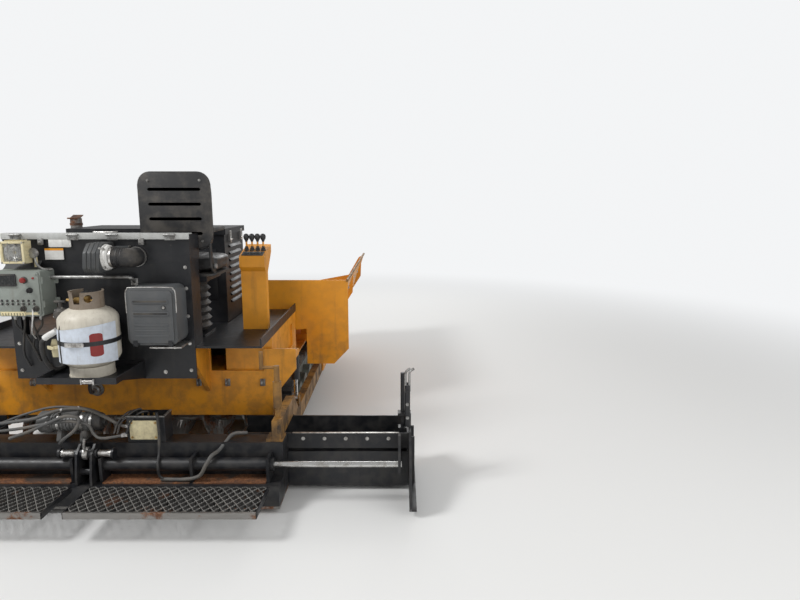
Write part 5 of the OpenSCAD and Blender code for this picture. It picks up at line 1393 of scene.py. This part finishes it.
# Junction tray: rim, cover plate, terminal blocks, leads, and the hose over the right screed cylinder

junctionTray = {
    "posts": (0.04, 0.072, 0.104, 0.136), "leads": ((0.05, 0.02), (0.064, 0.03), (0.046, 0.016)),
    "longLead": ((-0.03, 0.03, -0.04), (-0.02, 0.012, 0.016), (-0.006, -0.016, 0.004), (0, -0.022, -0.08),
                 (0.004, -0.05, -0.19), (0.014, -0.1, -0.24), (0.02, -0.1, -0.3),
                 (0.05, -0.094, -0.3255)),
    "deckHose": ((0.4, -1.75, 0.1785), (0.52, -1.755, 0.1785), (0.61, -1.76, 0.2), (0.65, -1.761, 0.262),
                 (0.676, -1.735, 0.305), (0.7, -1.68, 0.312), (0.728, -1.64, 0.345), (0.76, -1.59, 0.372),
                 (0.83, -1.56, 0.366)),
}


def makeJunctionTray():
    low, high = cadBox("screed_box")
    rim = Vector((low.x, low.y, high.z))
    form = bmesh.new()
    for x0, x1, y0, y1 in ((low.x - 0.004, high.x + 0.004, low.y - 0.003, low.y + 0.01),
                           (low.x - 0.004, low.x + 0.01, low.y, high.y),
                           (high.x - 0.01, high.x + 0.004, low.y, high.y)):
        addBlock(form, (x0, y0, high.z - 0.004), (x1, y1, high.z + 0.003), 0.0015)
    nodePiece(form, "trayRim", "dullAlloy", "screed_box")
    form = bmesh.new()
    far = (high.x - 0.036, low.y - 0.002, low.z + 0.128)
    addPanel(form, offset(low, 0.02, -0.008, 0.02), far, 0.006, 0.0012)
    nodePiece(form, "trayCover", "creamPaint", "screed_box")
    form = bmesh.new()
    places = [(x, low.y - 0.008, low.z + z) for x in (low.x + 0.032, high.x - 0.048) for z in (0.032, 0.116)]
    addBolts(form, places, toRear, 0.005)
    for x in junctionTray["posts"]:
        post = offset(rim, x, 0.05)
        addRod(form, offset(post, z=-0.074), offset(post, z=-0.022), 0.01, 6)
        addRod(form, offset(post, z=-0.026), offset(post, z=0.004), 0.0065, 16, 0.005)
    addBlock(form, offset(rim, 0.022, 0.026, -0.08), (high.x - 0.03, low.y + 0.08, high.z - 0.048), 0.003)
    nodePiece(form, "trayFittings", "brass", "screed_box")
    form = bmesh.new()
    for x, (reach, lift) in zip(junctionTray["posts"], junctionTray["leads"]):
        lead = ((0, 0.05), (-0.006, 0.04, lift), (-0.04, 0.014, lift * 0.7), (-reach - 0.03, -0.01, -0.03),
                (-reach - 0.05, -0.024, -0.09))
        addTube(form, offsets(offset(rim, x), lead), 0.0052, 10, 7)
    addTube(form, offsets((high.x - 0.024, low.y, high.z), junctionTray["longLead"]), 0.0075, 12, 7)
    nodePiece(form, "trayCables", "hoseRubber", "screed_box")
    form = bmesh.new()
    addTube(form, junctionTray["deckHose"], 0.0105, 12, 8)
    nodePiece(form, "deckHose", "hoseGrey", "screed_frame")


makeAirCleaner()
makeLamp()
makeBlower()
makeJunctionTray()
say("air cleaner, lamp, blower and tray")


# Small parts seen on the rear: crown adjuster, extension edges with a painted highlight strip, end gate
# posts, panel fittings

crownAdjuster = {
    "axis": (0.0, -1.73, 0.319), "turns": 14, "pitch": 0.0046, "length": 0.066,
    "root": 0.0162, "crest": 0.0182,
    "handle": ((0.0, -1.752, 0.338), (0.006, -1.768, 0.378), (0.02, -1.776, 0.432)),
    "knob": ((0, 0), (0.012, 0), (0.016, 0.008), (0.015, 0.03), (0.009, 0.04), (0, 0.041)),
}


def makeAdjuster():
    axis, root = crownAdjuster["axis"], crownAdjuster["root"]
    profile = [(0, 0)]
    for k in range(crownAdjuster["turns"]):
        x = crownAdjuster["pitch"] * k
        profile += [(root, x + 0.0002), (crownAdjuster["crest"], x + 0.0023), (root, x + 0.0044)]
    profile.append((0, crownAdjuster["length"]))
    form = bmesh.new()
    for side in (-1, 1):
        addLathe(form, profile, offset(axis, side * 0.064), (side, 0, 0), 24)
    addRing(form, axis, toRight, 0.02, 0.034, 0.026)
    addTube(form, crownAdjuster["handle"], 0.0075, 12, 6)
    for x in (-0.132, 0.132):
        addRing(form, offset(axis, x), toRight, 0.013, 0.021, 0.01)
    nodePiece(form, "adjusterThread", "brightSteel", "crown_jack")
    form = bmesh.new()
    addLathe(form, crownAdjuster["knob"], (0.02, -1.776, 0.426), (0.14, -0.05, 0.99), 24)
    nodePiece(form, "adjusterKnob", "blackPlastic", "crown_jack")


gatePost = {
    "bottom": 0.395, "top": 0.64, "bolts": (0.45, 0.53),
    "handle": ((0, -1.534, 0.606), (0, -1.534, 0.7), (0.008, -1.53, 0.724), (0.026, -1.524, 0.734)),
}


def makeEdges(hand, side):
    gate, slide = "end_gate_" + hand, "extension_" + hand
    low, high = cadBox(slide)
    inner, outer = (low.x + 0.33, high.x - 0.055) if side > 0 else (low.x + 0.055, high.x - 0.33)
    form = bmesh.new()
    # the bright steel strip along the lit stretch of the extension's top edge is a painted highlight; the
    # bolts below it are real
    addBlock(form, (inner, -1.53, 0.3495), (outer, -1.514, 0.353), 0.0012)
    places = [(inner + (outer - inner) * (k + 0.5) / 5, -1.528, 0.318) for k in range(5)]
    addBolts(form, places, toRear, 0.008)
    nodePiece(form, "extensionHighlightEdge" + hand.title(), "brightSteel", slide)
    low, high = cadBox(gate)
    left, right = (high.x - 0.063, high.x - 0.033) if side > 0 else (low.x + 0.033, low.x + 0.063)
    bottom, top = gatePost["bottom"], gatePost["top"]
    form = bmesh.new()
    for y in (-1.546, -1.486):
        addBlock(form, (left, y, bottom), (right, y + 0.008, top), 0.002)
    addBlock(form, (left, -1.546, bottom), (left + 0.006, -1.478, top), 0.002)
    addBlock(form, (left, -1.55, 0.6), (right, -1.474, 0.616), 0.002)
    nodePiece(form, "gatePost" + hand.title(), "blackPaint", gate)
    form = bmesh.new()
    for x in (left + 0.004, right - 0.004):
        addTube(form, [(x + side * out, y, z) for out, y, z in gatePost["handle"]], 0.0075, 12, 6)
    addBolts(form, [(left + 0.015, -1.546, z) for z in gatePost["bolts"]], toRear, 0.007)
    nodePiece(form, "gateHandles" + hand.title(), "dullAlloy", gate)


rearPanel = {
    "boltRows": (0.7, 0.86, 1.02, 1.18, 1.3), "clips": (-0.84, -0.6, 0.44, 0.62, 0.84),
    "plug": ((0, 0), (0.042, 0), (0.042, 0.01), (0.03, 0.014), (0.03, 0.034), (0.018, 0.04), (0.018, 0.058),
             (0, 0.058)),
    "hose": ((-0.2, -1.232, 0.5), (-0.2, -1.262, 0.505), (-0.19, -1.29, 0.55), (-0.165, -1.312, 0.606),
             (-0.15, -1.318, 0.6485)),
    "domeHose": ((-0.083, -1.738, 0.815), (-0.087, -1.736, 0.9), (-0.085, -1.737, 0.98),
                 (-0.078, -1.728, 1.035), (-0.06, -1.7, 1.078), (-0.04, -1.668, 1.102)),
}


def makePanelParts():
    form = bmesh.new()
    places = [(x, -1.44, z) for x in (-0.49, 0.49) for z in rearPanel["boltRows"]]
    addBolts(form, places, toRear, 0.0075)
    addBolts(form, ((-0.3, -1.44, 0.69), (0.34, -1.44, 0.69)), toRear, 0.0085)
    nodePiece(form, "panelBolts", "brightSteel", "rear_bulkhead")
    form = bmesh.new()
    addLathe(form, rearPanel["plug"], (-0.2, -1.18, 0.5), toRear, 32)
    for x in rearPanel["clips"]:
        addRing(form, (x, -1.19, 0.545), toRight, 0.012, 0.022, 0.01)
        addBlock(form, (x - 0.016, -1.186, 0.522), (x + 0.016, -1.179, 0.568), 0.002)
    nodePiece(form, "panelFittings", "dullAlloy", "main_frame")
    form = bmesh.new()
    addTube(form, rearPanel["hose"], 0.0105, 12, 7)
    nodePiece(form, "panelHose", "hoseRubber", "main_frame")
    form = bmesh.new()
    addTube(form, rearPanel["domeHose"], 0.0036, 8, 7)
    nodePiece(form, "domeHose", "hoseRubber", "gas_tank")
    form = bmesh.new()
    addBlock(form, (0.04, -1.797, 0.731), (0.104, -1.7885, 0.751), 0.002)
    addRod(form, (0.046, -1.797, 0.746), (0.098, -1.797, 0.746), 0.0055, 16)
    for x in (0.036, 0.1):
        addBlock(form, (x, -1.802, 0.728), (x + 0.008, -1.789, 0.757), 0.002)
    nodePiece(form, "shelfCatch", "brightSteel", "tank_shelf")


# Control stand: black lever knobs with gaiters, and a panel with three dials

controlStand = {
    "levers": (0.706, 0.742, 0.778, 0.814),
    "knob": ((0, 0), (0.007, 0), (0.0095, 0.008), (0.0165, 0.02), (0.0185, 0.034), (0.015, 0.046),
             (0.007, 0.052), (0, 0.053)),
    "gaiter": ((0, 0), (0.0165, 0), (0.0165, 0.008), (0.012, 0.012), (0.0135, 0.018), (0.009, 0.024),
               (0.0095, 0.03), (0, 0.032)),
    "dials": (0.72, 0.76, 0.8),
    "dial": ((0, 0), (0.015, 0), (0.016, 0.002), (0.016, 0.005), (0.0135, 0.006), (0, 0.006)),
}


def makeStandParts():
    form = bmesh.new()
    for x in controlStand["levers"]:
        addLathe(form, controlStand["knob"], (x, -0.91, 1.404), toTop, 24)
        addLathe(form, controlStand["gaiter"], (x, -0.91, 1.345), toTop, 24)
    nodePiece(form, "leverKnobs", "blackPlastic", "control_stand")
    form = bmesh.new()
    outline = [(-1.002, 1.3228), (-0.94, 1.3405), (-0.94, 1.3445), (-1.002, 1.3268)]
    addPlate(form, outline, "x", 0.692, 0.828, bevel=0.001)
    for x in controlStand["dials"]:
        addLathe(form, controlStand["dial"], (x, -0.972, 1.3345), (0, -0.27, 0.96), 28)
    nodePiece(form, "standPanel", "darkGreyPaint", "control_stand")


# Engine cover and exhaust: handles, latches, louvre hoods, slatted grille, rain cap

hoodTrim = {
    "handle": ((-0.07, -0.77), (-0.068, -0.8), (0.068, -0.8), (0.07, -0.77)), "handleZ": 1.458,
    "louvres": 9, "firstLouvre": 0.974, "louvrePitch": 0.048,
    "louvre": ((0.519, 0.01), (0.519, 0.0005), (0.534, -0.01), (0.5355, -0.008)),
    "slats": 10, "slatPitch": 0.03,
    "cap": ((-0.528, 1.5415), (-0.486, 1.56), (-0.488, 1.564), (-0.53, 1.5455), (-0.572, 1.5455),
            (-0.572, 1.5415)),
}


def makeHoodParts():
    form = bmesh.new()
    for middle in (-0.26, 0.26):
        addTube(form, [(middle + x, y, hoodTrim["handleZ"]) for x, y in hoodTrim["handle"]], 0.007, 12, 6)
    for side in (-1, 1):
        for y in (-0.66, -0.38):
            x = side * 0.534
            addBlock(form, (x - 0.005, y - 0.016, 1.38), (x + 0.005, y + 0.016, 1.462), 0.002)
            addRod(form, (side * 0.536, y - 0.02, 1.4), (side * 0.536, y + 0.02, 1.4), 0.0065, 14)
    nodePiece(form, "hoodLatches", "brightSteel", "hood_lid")
    form = bmesh.new()
    for side in (-1, 1):
        for k in range(hoodTrim["louvres"]):
            height = hoodTrim["firstLouvre"] + hoodTrim["louvrePitch"] * k
            outline = [(side * x, height + z) for x, z in hoodTrim["louvre"]]
            addPlate(form, outline[::-side], "y", -0.665, -0.385, bevel=0.0006)
    for x in (-0.36, 0.36):
        addBlock(form, (x - 0.1, -0.764, 1.0), (x + 0.1, -0.7595, 1.34), 0.002)
    for k in range(hoodTrim["slats"]):
        z = 1.075 + hoodTrim["slatPitch"] * k
        addBlock(form, (-0.41, -0.2905, z), (0.41, -0.279, z + 0.01), 0.0015)
    for x in (-0.43, -0.006, 0.41):
        addBlock(form, (x, -0.2905, 1.06), (x + 0.02, -0.275, 1.375), 0.002)
    nodePiece(form, "hoodLouvres", "blackPaint", "hood")
    form = bmesh.new()
    addRing(form, (-0.59, -0.525, 1.5), toTop, 0.037, 0.0415, 0.016)
    addPlate(form, hoodTrim["cap"], "x", -0.626, -0.554, bevel=0.001)
    addRod(form, (-0.628, -0.566, 1.5415), (-0.552, -0.566, 1.5415), 0.005, 12)
    nodePiece(form, "exhaustCap", "rustySteel", "exhaust")


# Hopper: a lip, bolts and wear liners on both wings

hopperTrim = {
    "lip": (1.296, 1.058), "lipRun": (-0.262, 0.8, 1.878), "bolts": 6,
    "liners": (((0.69, 0.6619), (1.165, 0.7316), (1.165, 0.735), (0.69, 0.6653)),
               ((1.194, 0.764), (1.262, 0.983), (1.2585, 0.9842), (1.1905, 0.7652))),
}


def makeHopperParts(hand, side):
    wing = "wing_" + hand
    x, z = hopperTrim["lip"]
    form = bmesh.new()
    addTube(form, [(side * x, y, z) for y in hopperTrim["lipRun"]], 0.0105, 12, 2)
    nodePiece(form, "wingLip" + hand.title(), "tarredYellow", wing)
    form = bmesh.new()
    places = [(side * 1.258, -0.1 + 0.36 * k, 0.9255) for k in range(hopperTrim["bolts"])]
    addBolts(form, places, (side * 0.955, 0, -0.297), 0.01)
    nodePiece(form, "wingBolts" + hand.title(), "brightSteel", wing)
    form = bmesh.new()
    for liner in hopperTrim["liners"]:
        outline = [(side * x, z) for x, z in liner]
        addPlate(form, outline[::side], "y", -0.215, 1.56, bevel=0.001)
    nodePiece(form, "wingLiner" + hand.title(), "wornSteel", wing)


# Hubs of the sprocket and idler, with their bolts

wheelHub = {
    "wheels": (-0.56, 0.88), "bolts": 8,
    "profile": ((0, 0), (0.085, 0), (0.088, 0.004), (0.088, 0.01), (0.06, 0.014), (0.048, 0.02),
                (0.044, 0.03), (0, 0.032)),
}


def makeTrackParts(hand, side):
    form = bmesh.new()
    for y in wheelHub["wheels"]:
        hub = Vector((side * 0.889, y, 0.23))
        addLathe(form, wheelHub["profile"], hub, (side, 0, 0), 40)
        for angle in fullTurn(wheelHub["bolts"]):
            spot = offset(hub, side * 0.0105, 0.072 * math.cos(angle), 0.072 * math.sin(angle))
            addBolt(form, spot, (side, 0, 0), 0.008)
    nodePiece(form, "wheelHubs" + hand.title(), "wornSteel", "undercarriage_" + hand)


makeAdjuster()
makePanelParts()
makeStandParts()
makeHoodParts()
for sideName, sideSign in sides.items():
    makeEdges(sideName, sideSign)
    makeHopperParts(sideName, sideSign)
    makeTrackParts(sideName, sideSign)
say("adjuster, edges, panel, stand, hood, hopper and hubs")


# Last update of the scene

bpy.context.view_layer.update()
say("done")
